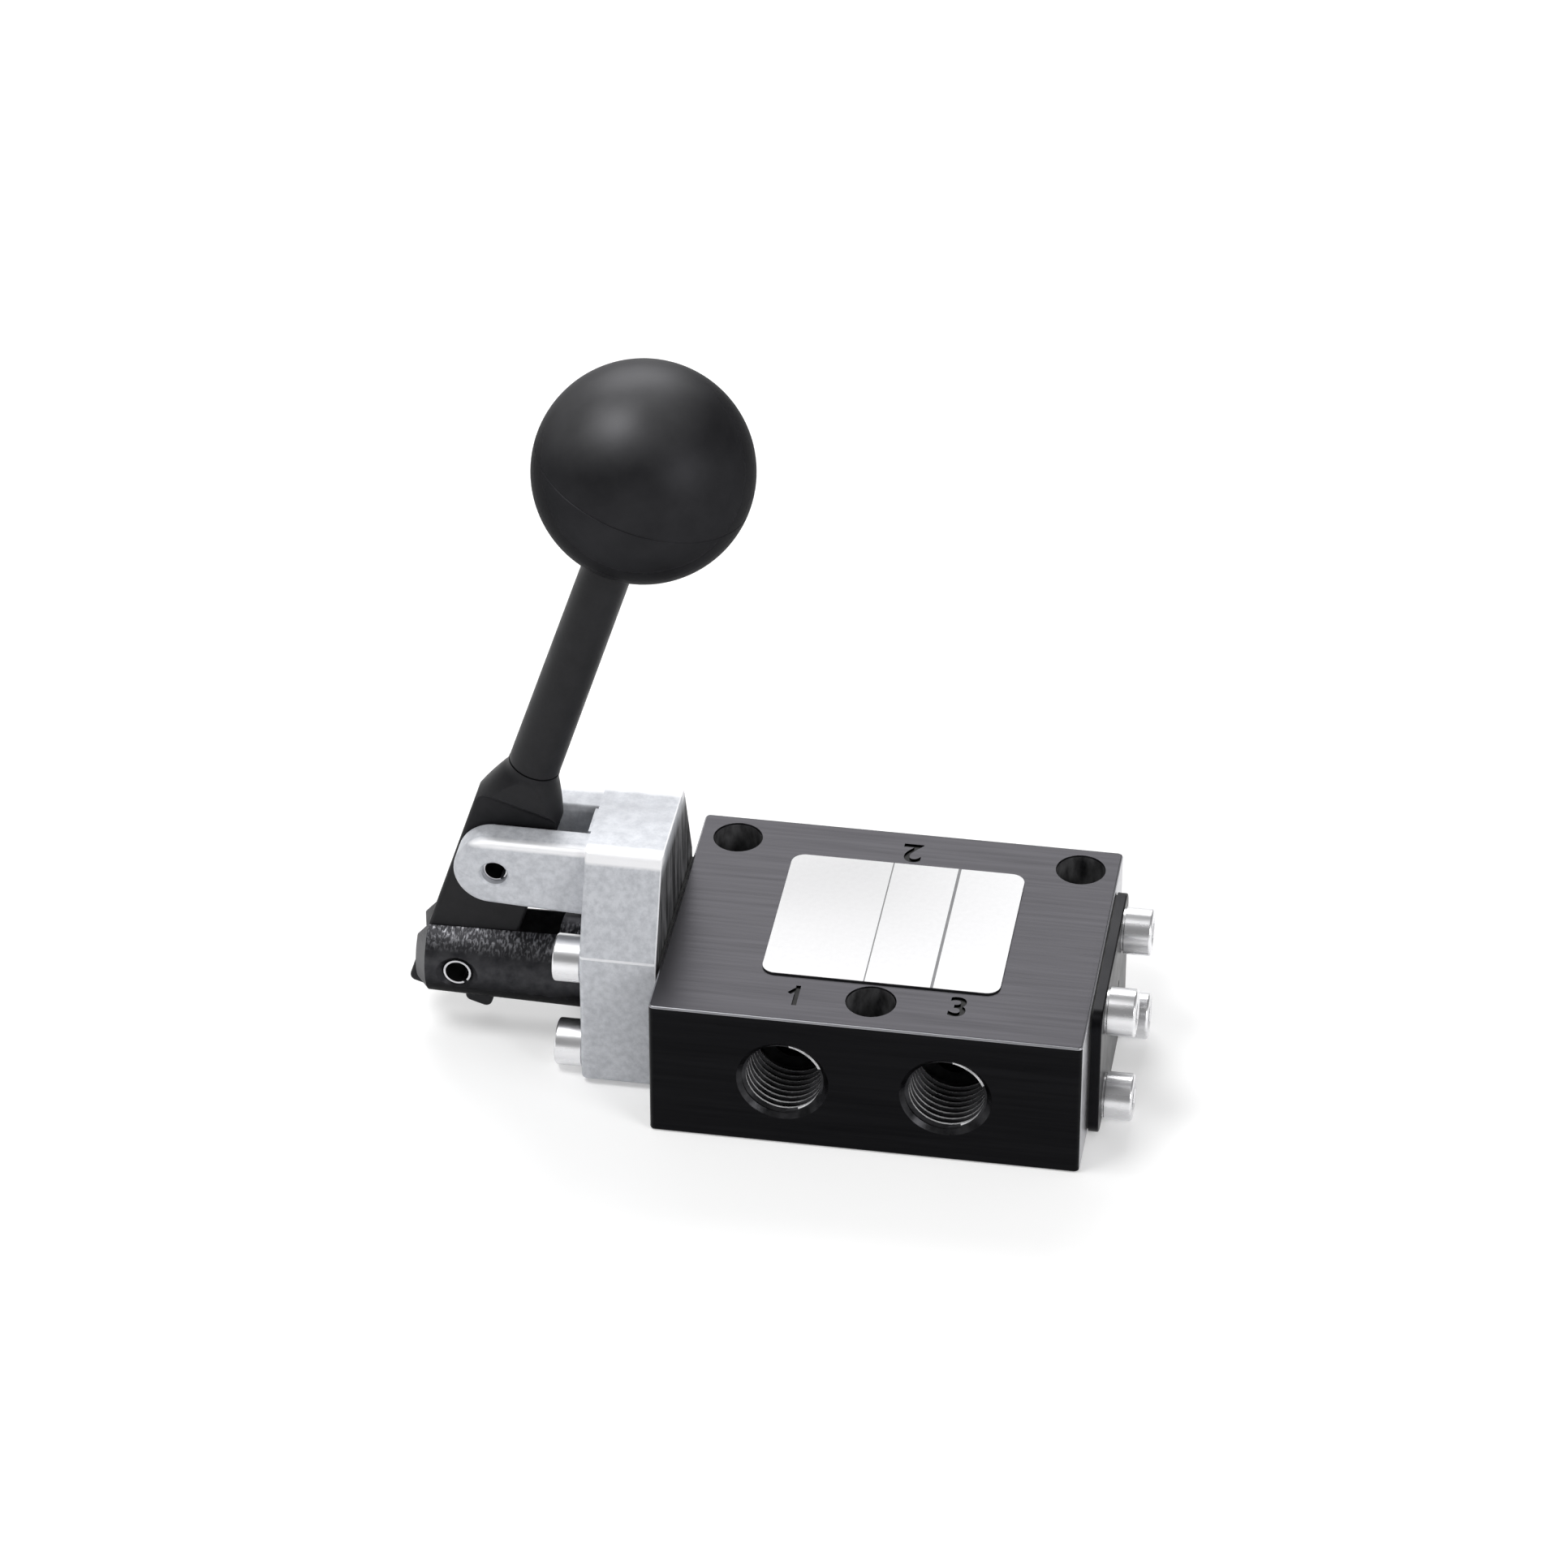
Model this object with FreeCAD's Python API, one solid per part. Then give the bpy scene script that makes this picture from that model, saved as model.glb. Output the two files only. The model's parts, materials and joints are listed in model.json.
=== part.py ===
import FreeCAD
import Part
import math
import os
from FreeCAD import Vector

# Hand lever spool valve: a block with three threaded ports, a spool drawn by a slotted stem,
# and a forked lever with a ball knob that works the stem.
# Millimetres, +Z up. The origin is the middle of the block's bottom face.
# The lever bracket is towards -X, the spring end towards +X, ports 1 and 3 face -Y, port 2 faces +Y.

# Block
body_length = 71.5
body_width = 55.5
body_height = 25.4
body_corner = 0.9
body_edge = 0.4
spool_height = 12.7

# Spool bore and the ring passages that join it to the ports
bore_radius = 8.0
passage_radius = 9.6
port_pitch = 13.5
side_passage_width = 8.0
middle_passage_width = 6.0

# Threaded ports
port_radius = 6.8
port_depth = 12.5
port_mouth_radius = 7.65
port_drill_radius = 3.5

# Mounting holes straight down through the block
mount_hole_radius = 4.0
mount_hole_mouth = 0.2
rear_hole_end_inset = 6.55
rear_hole_side_inset = 6.05
front_hole_inset = 7.15

# Socket head screws, four at each end of the block
screw_y = 11.4
screw_z = 8.7
screw_radius = 2.4
screw_head_radius = 4.0
screw_head_height = 5.0
screw_head_edge = 0.45
screw_seat_height = 0.35
screw_seat_inset = 0.35
socket_flats = 3.97
socket_depth = 2.4
screw_bite = 9.5
screw_tip_room = 1.5
thread_clearance = 0.05
screw_clearance = 0.25

# Gaskets at the two ends
bracket_gasket_thickness = 0.5
end_gasket_thickness = 0.3
gasket_inset = 0.3

# Lever bracket: a house-shaped base plate and two ears
bracket_thickness = 13.0
bracket_half_width = 17.2
bracket_bottom = 0.4
bracket_shoulder = 25.8
bracket_top = 42.4
bracket_top_half_width = 10.4
bracket_corner = 1.5
bracket_edge = 0.8
ear_gap = 6.4
ear_thickness = 6.2
ear_drop = 0.7
ear_height = 12.1
ear_draft = 0.5
ear_root = 4.0
ear_nose = 0.95
ear_edge = 0.7
ear_web = 0.7
pivot_reach = 15.5
pivot_drop = 7.0

# Guide bush, wiper and stop washer in the bracket and block
bush_wall = 2.3
bush_length = 3.6
wiper_length = 2.0
wiper_lip = 0.9
stop_recess = 2.0
stop_play = 0.15
slide_clearance = 0.06
stem_hole_clearance = 0.35

# Stem: a slotted end that widens a little towards the bracket, and the shank that slides in the bush
stem_radius = 7.15
stem_tip_radius = 7.45
stem_end_radius = 7.95
stem_shoulder_room = 0.35
stem_nose = 7.4
stem_nose_chamfer = 1.9
stem_slot_width = 6.5
stem_slot_length = 24.2
stem_spigot_radius = 3.0
stem_spigot_length = 10.0

# Spool: each waist reaches past the edges of the ring passages that it joins
left_waist_start_reach = 4.0
left_waist_end_reach = 1.0
right_waist_start_reach = 3.5
right_waist_end_reach = 3.0
waist_radius = 4.6
waist_flare = 0.8
spool_end_room = 1.07
seal_lap = 1.1
seal_inset = 1.4
seal_groove_radius = 6.25
seal_groove_width = 2.1
seal_section_radius = 0.85
spring_pocket_radius = 5.2
spring_pocket_depth = 9.0

# Return spring and its seat
spring_seat_thickness = 1.0
spring_seat_boss_radius = 3.2
spring_seat_boss = 1.4
spring_wire_radius = 0.5
spring_turns = 6
spring_clearance = 0.45
spring_end_gap = 0.05

# End plate
plate_thickness = 1.7
plate_half_width = 18.9
plate_half_height = 12.3
plate_corner = 3.0
plate_edge = 0.3
vent_radius = 0.6
vent_y = 6.7
vent_rise = 0.9

# Lever: forked arm, rod and knob, drawn upright from the pivot and then leaned over
lever_lean = 18.0
arm_half_width = 7.3
arm_thickness = 6.1
fork_reach = 31.8
fork_clearance = 0.25
fork_slot_spare = 1.9
prong_corner = 1.1
hub_top = 17.3
hub_top_radius = 4.4
hub_collar = 1.0
hub_thickness = 9.2
hub_taper_start = 9.4
hub_taper_end = 11.6
hub_round_start = 7.4
hub_round_bulge = 0.25
arm_edge = 0.5
rod_foot_radius = 4.35
rod_radius = 4.15
rod_spigot_radius = 2.2
rod_spigot_length = 6.5
knob_radius = 18.0
knob_height = 78.85
knob_flat_radius = 6.3
insert_radius = 4.9
insert_length = 14.0
insert_bottom_room = 1.0

# Slotted spring pins at the pivot and in the stem
pivot_pin_radius = 2.15
pivot_pin_recess = 1.4
pivot_bush_wall = 1.1
pivot_clearance = 0.05
stem_pin_radius = 2.38
stem_pin_recess = 0.65
stem_pin_mouth = 0.6
pin_wall = 0.55
pin_slit = 0.9

# Places worked out from the sizes above
block_end = body_length / 2
bracket_face = -(block_end + bracket_gasket_thickness)
bracket_outer = bracket_face - bracket_thickness
plate_face = block_end + end_gasket_thickness
plate_outer = plate_face + plate_thickness
ear_inner = ear_gap / 2
ear_outer = ear_inner + ear_thickness
pivot_x = bracket_outer - pivot_reach
pivot_z = bracket_top - pivot_drop
ear_top = bracket_top - ear_drop
ear_bottom = ear_top - ear_height
pivot_rise = pivot_z - spool_height
lean_radians = math.radians(lever_lean)
travel = pivot_rise * math.tan(lean_radians)
stem_pin_x = pivot_x - travel
stem_end = stem_pin_x - stem_nose
stem_nose_end = stem_end + stem_nose_chamfer
stem_shoulder = bracket_face - bush_length - wiper_length - travel - stem_shoulder_room
bush_radius = stem_radius + slide_clearance + bush_wall
stop_face = -(block_end - stop_recess)
fork_slot_half = stem_pin_radius + fork_clearance
hub_root_radius = math.hypot(arm_half_width, arm_thickness / 2)
rear_hole_x = block_end - rear_hole_end_inset
rear_hole_y = body_width / 2 - rear_hole_side_inset
front_hole_y = body_width / 2 - front_hole_inset

# Waists and seals of the spool with the valve at rest
side_passage_start = port_pitch - side_passage_width / 2
side_passage_end = port_pitch + side_passage_width / 2
left_waist_start = -side_passage_end - left_waist_start_reach
left_waist_end = -side_passage_start + left_waist_end_reach
right_waist_start = middle_passage_width / 2 - right_waist_start_reach
right_waist_end = side_passage_start + right_waist_end_reach
spool_end = plate_face - travel - spool_end_room
spring_pocket_floor = spool_end - spring_pocket_depth
stem_side_seal = -(side_passage_end + travel + seal_lap)
left_land_seal = left_waist_end + waist_flare + seal_inset
right_land_seal = right_waist_start - waist_flare - seal_inset
spring_side_seal = side_passage_end + seal_lap
seal_places = (
    (stop_face + stem_side_seal) / 2,
    stem_side_seal,
    left_land_seal,
    right_land_seal,
    spring_side_seal,
    (spring_side_seal + spool_end) / 2,
)


def slab(x0, x1, y0, y1, z0, z1):
    return Part.makeBox(x1 - x0, y1 - y0, z1 - z0, Vector(x0, y0, z0))


def bar_x(x0, x1, radius, y=0.0, z=spool_height):
    return Part.makeCylinder(radius, x1 - x0, Vector(x0, y, z), Vector(1, 0, 0))


def bar_y(y0, y1, radius, x, z):
    return Part.makeCylinder(radius, y1 - y0, Vector(x, y0, z), Vector(0, 1, 0))


def bar_z(z0, z1, radius, x, y):
    return Part.makeCylinder(radius, z1 - z0, Vector(x, y, z0), Vector(0, 0, 1))


# A closed (along, radius) outline turned about the spool's axis
def turned(outline):
    points = [Vector(along, 0, spool_height + radius) for along, radius in outline]
    face = Part.Face(Part.makePolygon(points + points[:1]))
    return face.revolve(Vector(0, 0, spool_height), Vector(1, 0, 0), 360)


# A closed (radius, height) outline turned about the upright lever's axis
def turned_upright(outline):
    points = [Vector(pivot_x + radius, 0, pivot_z + height) for radius, height in outline]
    face = Part.Face(Part.makePolygon(points + points[:1]))
    return face.revolve(Vector(pivot_x, 0, pivot_z), Vector(0, 0, 1), 360)


# Lean an upright lever piece over to its resting place
def leaned(shape):
    shape.rotate(Vector(pivot_x, 0, pivot_z), Vector(0, 1, 0), lever_lean)
    return shape


def edges_where(shape, test):
    return [edge for edge in shape.Edges if test(edge.BoundBox)]


def near(a, b):
    return abs(a - b) < 0.001


def screw_places():
    return [(sy * screw_y, spool_height + sz * screw_z) for sy in (-1, 1) for sz in (-1, 1)]


# One port: a chamfered mouth, the thread's wall, and the drilling down to the ring passage
def port_hole(x, side):
    wall = side * body_width / 2
    mouth_depth = port_mouth_radius - port_radius
    inward = Vector(0, -side, 0)
    mouth = Part.makeCone(port_mouth_radius, port_radius, mouth_depth, Vector(x, wall, spool_height), inward)
    thread = Part.makeCylinder(port_radius, port_depth, Vector(x, wall, spool_height), inward)
    drill = Part.makeCylinder(port_drill_radius, body_width / 2, Vector(x, wall, spool_height), inward)
    return mouth.fuse([thread, drill])


def mount_hole(x, y):
    rim = mount_hole_radius + mount_hole_mouth
    hole = bar_z(0, body_height, mount_hole_radius, x, y)
    top = Part.makeCone(mount_hole_radius, rim, mount_hole_mouth, Vector(x, y, body_height - mount_hole_mouth))
    bottom = Part.makeCone(rim, mount_hole_radius, mount_hole_mouth, Vector(x, y, 0))
    return hole.fuse([top, bottom])


def valve_body():
    block = slab(-block_end, block_end, -body_width / 2, body_width / 2, 0, body_height)
    block = block.makeFillet(body_corner, edges_where(block, lambda box: box.ZLength > body_height / 2))
    block = block.makeChamfer(body_edge, edges_where(block, lambda box: box.ZLength < body_height / 2))
    cuts = [bar_x(-block_end, block_end, bore_radius)]
    cuts.append(bar_x(-block_end, stop_face, bush_radius))
    for x, width in ((-port_pitch, side_passage_width), (0, middle_passage_width), (port_pitch, side_passage_width)):
        cuts.append(bar_x(x - width / 2, x + width / 2, passage_radius))
    cuts.append(port_hole(-port_pitch, -1))
    cuts.append(port_hole(port_pitch, -1))
    cuts.append(port_hole(0, 1))
    cuts.append(mount_hole(-rear_hole_x, rear_hole_y))
    cuts.append(mount_hole(rear_hole_x, rear_hole_y))
    cuts.append(mount_hole(0, -front_hole_y))
    depth = screw_bite + screw_tip_room
    for y, z in screw_places():
        cuts.append(bar_x(-block_end, -block_end + depth, screw_radius + thread_clearance, y, z))
        cuts.append(bar_x(block_end - depth, block_end, screw_radius + thread_clearance, y, z))
    return block.cut(cuts)


# The ear is drawn from the side with its round nose, and rounded off before it joins the base
def bracket_ear(side):
    round_x = pivot_x - ear_nose
    root_x = bracket_outer + ear_root
    radius = ear_height / 2
    start = side * ear_inner if side > 0 else -ear_outer
    top_root = Vector(root_x, start, ear_top)
    top_round = Vector(round_x, start, ear_top)
    tip = Vector(round_x - radius, start, ear_top - radius)
    low_round = Vector(round_x, start, ear_bottom)
    low_root = Vector(root_x, start, ear_bottom - ear_draft)
    outline = Part.Wire([
        Part.makeLine(top_root, top_round),
        Part.Arc(top_round, tip, low_round).toShape(),
        Part.makeLine(low_round, low_root),
        Part.makeLine(low_root, top_root),
    ])
    ear = Part.Face(outline).extrude(Vector(0, ear_thickness, 0))
    rims = edges_where(ear, lambda box: near(box.YMin, box.YMax) and not near(box.XMin, root_x))
    return ear.makeFillet(ear_edge, rims)


def lever_bracket():
    half = bracket_half_width
    top_half = bracket_top_half_width
    corners = [(-half, bracket_bottom), (half, bracket_bottom), (half, bracket_shoulder),
               (top_half, bracket_top), (-top_half, bracket_top), (-half, bracket_shoulder)]
    points = [Vector(bracket_outer, y, z) for y, z in corners]
    base = Part.Face(Part.makePolygon(points + points[:1])).extrude(Vector(bracket_thickness, 0, 0))
    low_corners = edges_where(base, lambda box: near(box.ZMin, bracket_bottom) and near(box.ZMax, bracket_bottom)
                              and box.XLength > bracket_thickness / 2)
    base = base.makeFillet(bracket_corner, low_corners)
    rim = edges_where(base, lambda box: near(box.XMin, bracket_outer) and near(box.XMax, bracket_outer)
                      and not near(box.ZMin, bracket_top))
    base = base.makeFillet(bracket_edge, rim)
    web = slab(bracket_outer - ear_web, bracket_outer + ear_root, -ear_inner, ear_inner, ear_bottom, ear_top)
    bracket = base.fuse([bracket_ear(-1), bracket_ear(1), web]).removeSplitter()
    hollow = bush_length + wiper_length
    cuts = [
        bar_x(bracket_face - hollow, bracket_face, bush_radius),
        bar_x(bracket_outer - ear_root, bracket_face, stem_end_radius + stem_hole_clearance),
        bar_y(-ear_outer, ear_outer, pivot_pin_radius, pivot_x, pivot_z),
    ]
    for y, z in screw_places():
        cuts.append(bar_x(bracket_outer, bracket_face, screw_radius + screw_clearance, y, z))
    return bracket.cut(cuts)


# A flat piece against an end of the block, with a rounded outline centred on the spool
def flat_piece(x0, x1, half_width, half_height, corner):
    piece = slab(x0, x1, -half_width, half_width, spool_height - half_height, spool_height + half_height)
    posts = edges_where(piece, lambda box: near(box.YLength, 0) and near(box.ZLength, 0))
    piece = piece.makeFillet(corner, posts)
    for y, z in screw_places():
        piece = piece.cut(bar_x(x0, x1, screw_radius + screw_clearance, y, z))
    return piece


def bracket_gasket():
    low = bracket_bottom + gasket_inset
    half_height = spool_height - low
    gasket = flat_piece(bracket_face, -block_end, bracket_half_width - gasket_inset, half_height, bracket_corner)
    return gasket.cut(bar_x(bracket_face, -block_end, bush_radius + gasket_inset))


def end_gasket():
    half_width = plate_half_width - gasket_inset
    half_height = plate_half_height - gasket_inset
    gasket = flat_piece(block_end, plate_face, half_width, half_height, plate_corner)
    return gasket.cut(bar_x(block_end, plate_face, bore_radius + gasket_inset))


def end_plate():
    plate = flat_piece(plate_face, plate_outer, plate_half_width, plate_half_height, plate_corner)
    rim = edges_where(plate, lambda box: near(box.XMin, plate_outer)
                      and (near(abs(box.YMin), plate_half_width) or near(abs(box.YMax), plate_half_width)
                           or box.YLength > plate_half_width))
    plate = plate.makeChamfer(plate_edge, rim)
    return plate.cut(bar_x(plate_face, plate_outer, vent_radius, vent_y, spool_height + vent_rise))


# A socket head screw whose head sits on a face at x and points out along side.
# A narrower seat under the head leaves a thin dark line round it.
def socket_screw(x, side, grip, y, z):
    seat_radius = screw_head_radius - screw_seat_inset
    crown_start = screw_head_height - screw_head_edge
    profile = [(-grip - screw_bite, 0), (-grip - screw_bite, screw_radius), (0, screw_radius), (0, seat_radius),
               (screw_seat_height, seat_radius), (screw_seat_height, screw_head_radius),
               (crown_start, screw_head_radius), (screw_head_height, screw_head_radius - screw_head_edge),
               (screw_head_height, 0)]
    points = [Vector(x + side * along, y, z + radius) for along, radius in profile]
    outline = Part.Face(Part.makePolygon(points + points[:1]))
    screw = outline.revolve(Vector(x, y, z), Vector(1, 0, 0), 360)
    corner = socket_flats / math.sqrt(3)
    floor_x = x + side * (screw_head_height - socket_depth)
    turns = [math.radians(60 * count + 30) for count in range(6)]
    points = [Vector(floor_x, y + corner * math.cos(turn), z + corner * math.sin(turn)) for turn in turns]
    socket = Part.Face(Part.makePolygon(points + points[:1])).extrude(Vector(side * socket_depth, 0, 0))
    return screw.cut(socket)


def bracket_screws():
    grip = bracket_thickness + bracket_gasket_thickness
    return Part.makeCompound([socket_screw(bracket_outer, -1, grip, y, z) for y, z in screw_places()])


def end_plate_screws():
    grip = plate_thickness + end_gasket_thickness
    return Part.makeCompound([socket_screw(plate_outer, 1, grip, y, z) for y, z in screw_places()])


def guide_bush():
    inner = stem_radius + slide_clearance
    return turned([(bracket_face - bush_length, inner), (bracket_face, inner),
                   (bracket_face, bush_radius), (bracket_face - bush_length, bush_radius)])


# The wiper's lip leans out against the stem
def stem_wiper():
    back = bracket_face - bush_length
    front = back - wiper_length
    inner = stem_radius + slide_clearance
    return turned([(back, inner + wiper_lip), (back, bush_radius), (front, bush_radius),
                   (front, inner + wiper_lip), (front + wiper_lip / 2, inner), (front + wiper_lip, inner)])


def stop_washer():
    outer = bush_radius - stop_play
    inner = stem_radius + stem_hole_clearance
    return turned([(bracket_face, inner), (stop_face, inner), (stop_face, outer), (bracket_face, outer)])


# The slotted end's radius at a place along it
def stem_end_radius_at(x):
    share = (x - stem_nose_end) / (stem_shoulder - stem_nose_end)
    return stem_tip_radius + share * (stem_end_radius - stem_tip_radius)


def spool_stem():
    thread_end = stop_face + stem_spigot_length
    stem = turned([(stem_end, 0), (stem_end, stem_tip_radius - stem_nose_chamfer), (stem_nose_end, stem_tip_radius),
                   (stem_shoulder, stem_end_radius), (stem_shoulder, stem_radius), (stop_face, stem_radius),
                   (stop_face, stem_spigot_radius), (thread_end, stem_spigot_radius), (thread_end, 0)])
    half = stem_slot_width / 2
    low = spool_height - stem_end_radius
    high = spool_height + stem_end_radius
    slot = slab(stem_end, stem_end + stem_slot_length, -half, half, low, high)
    cuts = [slot, bar_y(-stem_end_radius, stem_end_radius, stem_pin_radius, stem_pin_x, spool_height)]
    mouth_radius = stem_pin_radius + stem_pin_mouth
    rim = math.sqrt(stem_end_radius_at(stem_pin_x) ** 2 - mouth_radius ** 2)
    for side in (-1, 1):
        start = Vector(stem_pin_x, side * (rim - stem_pin_mouth), spool_height)
        depth = stem_end_radius - rim + stem_pin_mouth
        end_radius = stem_pin_radius + depth
        cuts.append(Part.makeCone(stem_pin_radius, end_radius, depth, start, Vector(0, side, 0)))
    return stem.cut(cuts)


def spool():
    land = bore_radius - slide_clearance
    outline = [(stop_face, 0), (stop_face, land)]
    outline += [(left_waist_start - waist_flare, land), (left_waist_start, waist_radius)]
    outline += [(left_waist_end, waist_radius), (left_waist_end + waist_flare, land)]
    outline += [(right_waist_start - waist_flare, land), (right_waist_start, waist_radius)]
    outline += [(right_waist_end, waist_radius), (right_waist_end + waist_flare, land)]
    outline += [(spool_end, land), (spool_end, spring_pocket_radius)]
    outline += [(spring_pocket_floor, spring_pocket_radius), (spring_pocket_floor, 0)]
    shape = turned(outline)
    for place in seal_places:
        half = seal_groove_width / 2
        ring = bar_x(place - half, place + half, bore_radius).cut(bar_x(place - half, place + half, seal_groove_radius))
        shape = shape.cut(ring)
    socket_end = stop_face + stem_spigot_length + screw_tip_room
    return shape.cut(bar_x(stop_face, socket_end, stem_spigot_radius + thread_clearance))


def spool_seal(place):
    centre_radius = seal_groove_radius + seal_section_radius
    return Part.makeTorus(centre_radius, seal_section_radius, Vector(place, 0, spool_height), Vector(1, 0, 0))


def spring_seat():
    start = spring_pocket_floor
    rim = start + spring_seat_thickness
    top = rim + spring_seat_boss
    outer = spring_pocket_radius - slide_clearance
    return turned([(start, 0), (start, outer), (rim, outer), (rim, spring_seat_boss_radius),
                   (top, spring_seat_boss_radius), (top, 0)])


# One coil swept along a helix, standing between its seat and the end plate
def return_spring():
    mean = spring_pocket_radius - spring_clearance - spring_wire_radius
    start = spring_pocket_floor + spring_seat_thickness + spring_wire_radius + spring_end_gap
    finish = plate_face - spring_wire_radius - spring_end_gap
    length = finish - start
    helix = Part.makeHelix(length / spring_turns, length, mean)
    wire = Part.Wire(Part.makeCircle(spring_wire_radius, Vector(mean, 0, 0), Vector(0, 1, 0)))
    coil = Part.Wire(helix.Edges).makePipeShell([wire], True, True)
    coil.rotate(Vector(0, 0, 0), Vector(0, 1, 0), 90)
    coil.translate(Vector(start, 0, spool_height))
    return coil


# A rolled pin with its slit, lying along Y
def spring_pin(radius, half_length, x, z):
    pin = bar_y(-half_length, half_length, radius, x, z)
    pin = pin.cut(bar_y(-half_length, half_length, radius - pin_wall, x, z))
    return pin.cut(slab(x, x + radius, -half_length, half_length, z - pin_slit / 2, z + pin_slit / 2))


def pivot_pin():
    return spring_pin(pivot_pin_radius, ear_outer - pivot_pin_recess, pivot_x, pivot_z)


def stem_pin():
    half_length = stem_end_radius_at(stem_pin_x) - stem_pin_recess
    return spring_pin(stem_pin_radius, half_length, stem_pin_x, spool_height)


# The forked arm's outline seen from the front: two blunt prongs and straight sides
def arm_outline(y):
    prong_start = prong_corner - fork_reach
    corner_in = prong_corner * (1 - math.sqrt(0.5))
    slot_top = fork_slot_spare - pivot_rise

    def at(across, height):
        return Vector(pivot_x + across, y, pivot_z + height)

    def prong_arc(side, edge, inward):
        start = at(side * edge, prong_start)
        middle = at(side * (edge + inward * corner_in), corner_in - fork_reach)
        end = at(side * (edge + inward * prong_corner), -fork_reach)
        return Part.Arc(start, middle, end).toShape(), end

    edges = []
    for side in (-1, 1):
        outer = side * arm_half_width
        slot = side * fork_slot_half
        inner_arc, inner_end = prong_arc(side, fork_slot_half, 1)
        outer_arc, outer_end = prong_arc(side, arm_half_width, -1)
        edges += [inner_arc, Part.makeLine(inner_end, outer_end), outer_arc]
        edges.append(Part.makeLine(at(outer, prong_start), at(outer, hub_taper_start)))
        edges.append(Part.makeLine(at(slot, prong_start), at(slot, slot_top)))
    edges.append(Part.makeLine(at(-arm_half_width, hub_taper_start), at(arm_half_width, hub_taper_start)))
    crown = at(0, slot_top + fork_slot_half)
    edges.append(Part.Arc(at(-fork_slot_half, slot_top), crown, at(fork_slot_half, slot_top)).toShape())
    return Part.Wire(Part.__sortEdges__(edges))


# The outline as a plate, with its rims rounded off, all but the level one where the hub starts
def arm_plate():
    thin = arm_thickness / 2
    plate = Part.Face(arm_outline(-thin)).extrude(Vector(0, arm_thickness, 0))
    start = pivot_z + hub_taper_start
    rims = edges_where(plate, lambda box: near(box.YMin, box.YMax) and not near(box.ZMin, start))
    return plate.makeFillet(arm_edge, rims)


# A turned form about the rod's line, wide enough for the arm below and rounded off to a collar under the rod
def hub_round():
    collar_start = hub_top - hub_collar
    inward = hub_root_radius - hub_top_radius
    rise = collar_start - hub_round_start
    chord = math.hypot(inward, rise)
    middle_radius = (hub_root_radius + hub_top_radius) / 2 + hub_round_bulge * rise / chord
    middle_height = (hub_round_start + collar_start) / 2 + hub_round_bulge * inward / chord

    def at(radius, height):
        return Vector(pivot_x + radius, 0, pivot_z + height)

    root = at(hub_root_radius, hub_round_start)
    neck = at(hub_top_radius, collar_start)
    outline = Part.Wire([
        Part.makeLine(at(0, -fork_reach), at(hub_root_radius, -fork_reach)),
        Part.makeLine(at(hub_root_radius, -fork_reach), root),
        Part.Arc(root, at(middle_radius, middle_height), neck).toShape(),
        Part.makeLine(neck, at(hub_top_radius, hub_top)),
        Part.makeLine(at(hub_top_radius, hub_top), at(0, hub_top)),
        Part.makeLine(at(0, hub_top), at(0, -fork_reach)),
    ])
    return Part.Face(outline).revolve(Vector(pivot_x, 0, 0), Vector(0, 0, 1), 360)


# The arm is thin where it passes between the ears and in the stem, and thicker round the rod's foot
def lever_arm():
    thin = arm_thickness / 2
    thick = hub_thickness / 2
    start = pivot_z + hub_taper_start
    full = pivot_z + hub_taper_end
    top = pivot_z + hub_top
    side = [(-thin, start), (-thick, full), (-thick, top), (thick, top), (thick, full), (thin, start)]
    points = [Vector(pivot_x - arm_half_width, y, z) for y, z in side]
    hub = Part.Face(Part.makePolygon(points + points[:1])).extrude(Vector(2 * arm_half_width, 0, 0))
    arm = arm_plate().fuse(hub).removeSplitter().common(hub_round())
    bush_hole = bar_y(-thin, thin, pivot_pin_radius + pivot_clearance + pivot_bush_wall, pivot_x, pivot_z)
    socket = bar_z(top - rod_spigot_length, top, rod_spigot_radius, pivot_x, 0)
    return leaned(arm.cut([bush_hole, socket]))


def pivot_bush():
    inner = pivot_pin_radius + pivot_clearance
    half = arm_thickness / 2
    tube = bar_y(-half, half, inner + pivot_bush_wall, pivot_x, pivot_z)
    return tube.cut(bar_y(-half, half, inner, pivot_x, pivot_z))


def knob_flat():
    return knob_height - math.sqrt(knob_radius ** 2 - knob_flat_radius ** 2)


def lever_rod():
    flat = knob_flat()
    tip = flat + insert_length - insert_bottom_room
    low = hub_top - rod_spigot_length
    return leaned(turned_upright([
        (0, low), (rod_spigot_radius, low), (rod_spigot_radius, hub_top), (rod_foot_radius, hub_top),
        (rod_radius, flat), (rod_spigot_radius, flat), (rod_spigot_radius, tip), (0, tip)]))


def knob_insert():
    flat = knob_flat()
    top = flat + insert_length
    tip = top - insert_bottom_room
    return leaned(turned_upright([
        (rod_spigot_radius, flat), (insert_radius, flat), (insert_radius, top), (0, top),
        (0, tip), (rod_spigot_radius, tip)]))


def ball_knob():
    flat = knob_flat()
    middle = Vector(pivot_x, 0, pivot_z + knob_height)
    ball = Part.makeSphere(knob_radius, middle)
    below = bar_z(pivot_z + knob_height - knob_radius, pivot_z + flat, knob_radius, pivot_x, 0)
    hole = bar_z(pivot_z + flat, pivot_z + flat + insert_length, insert_radius, pivot_x, 0)
    return leaned(ball.cut([below, hole]))


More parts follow.
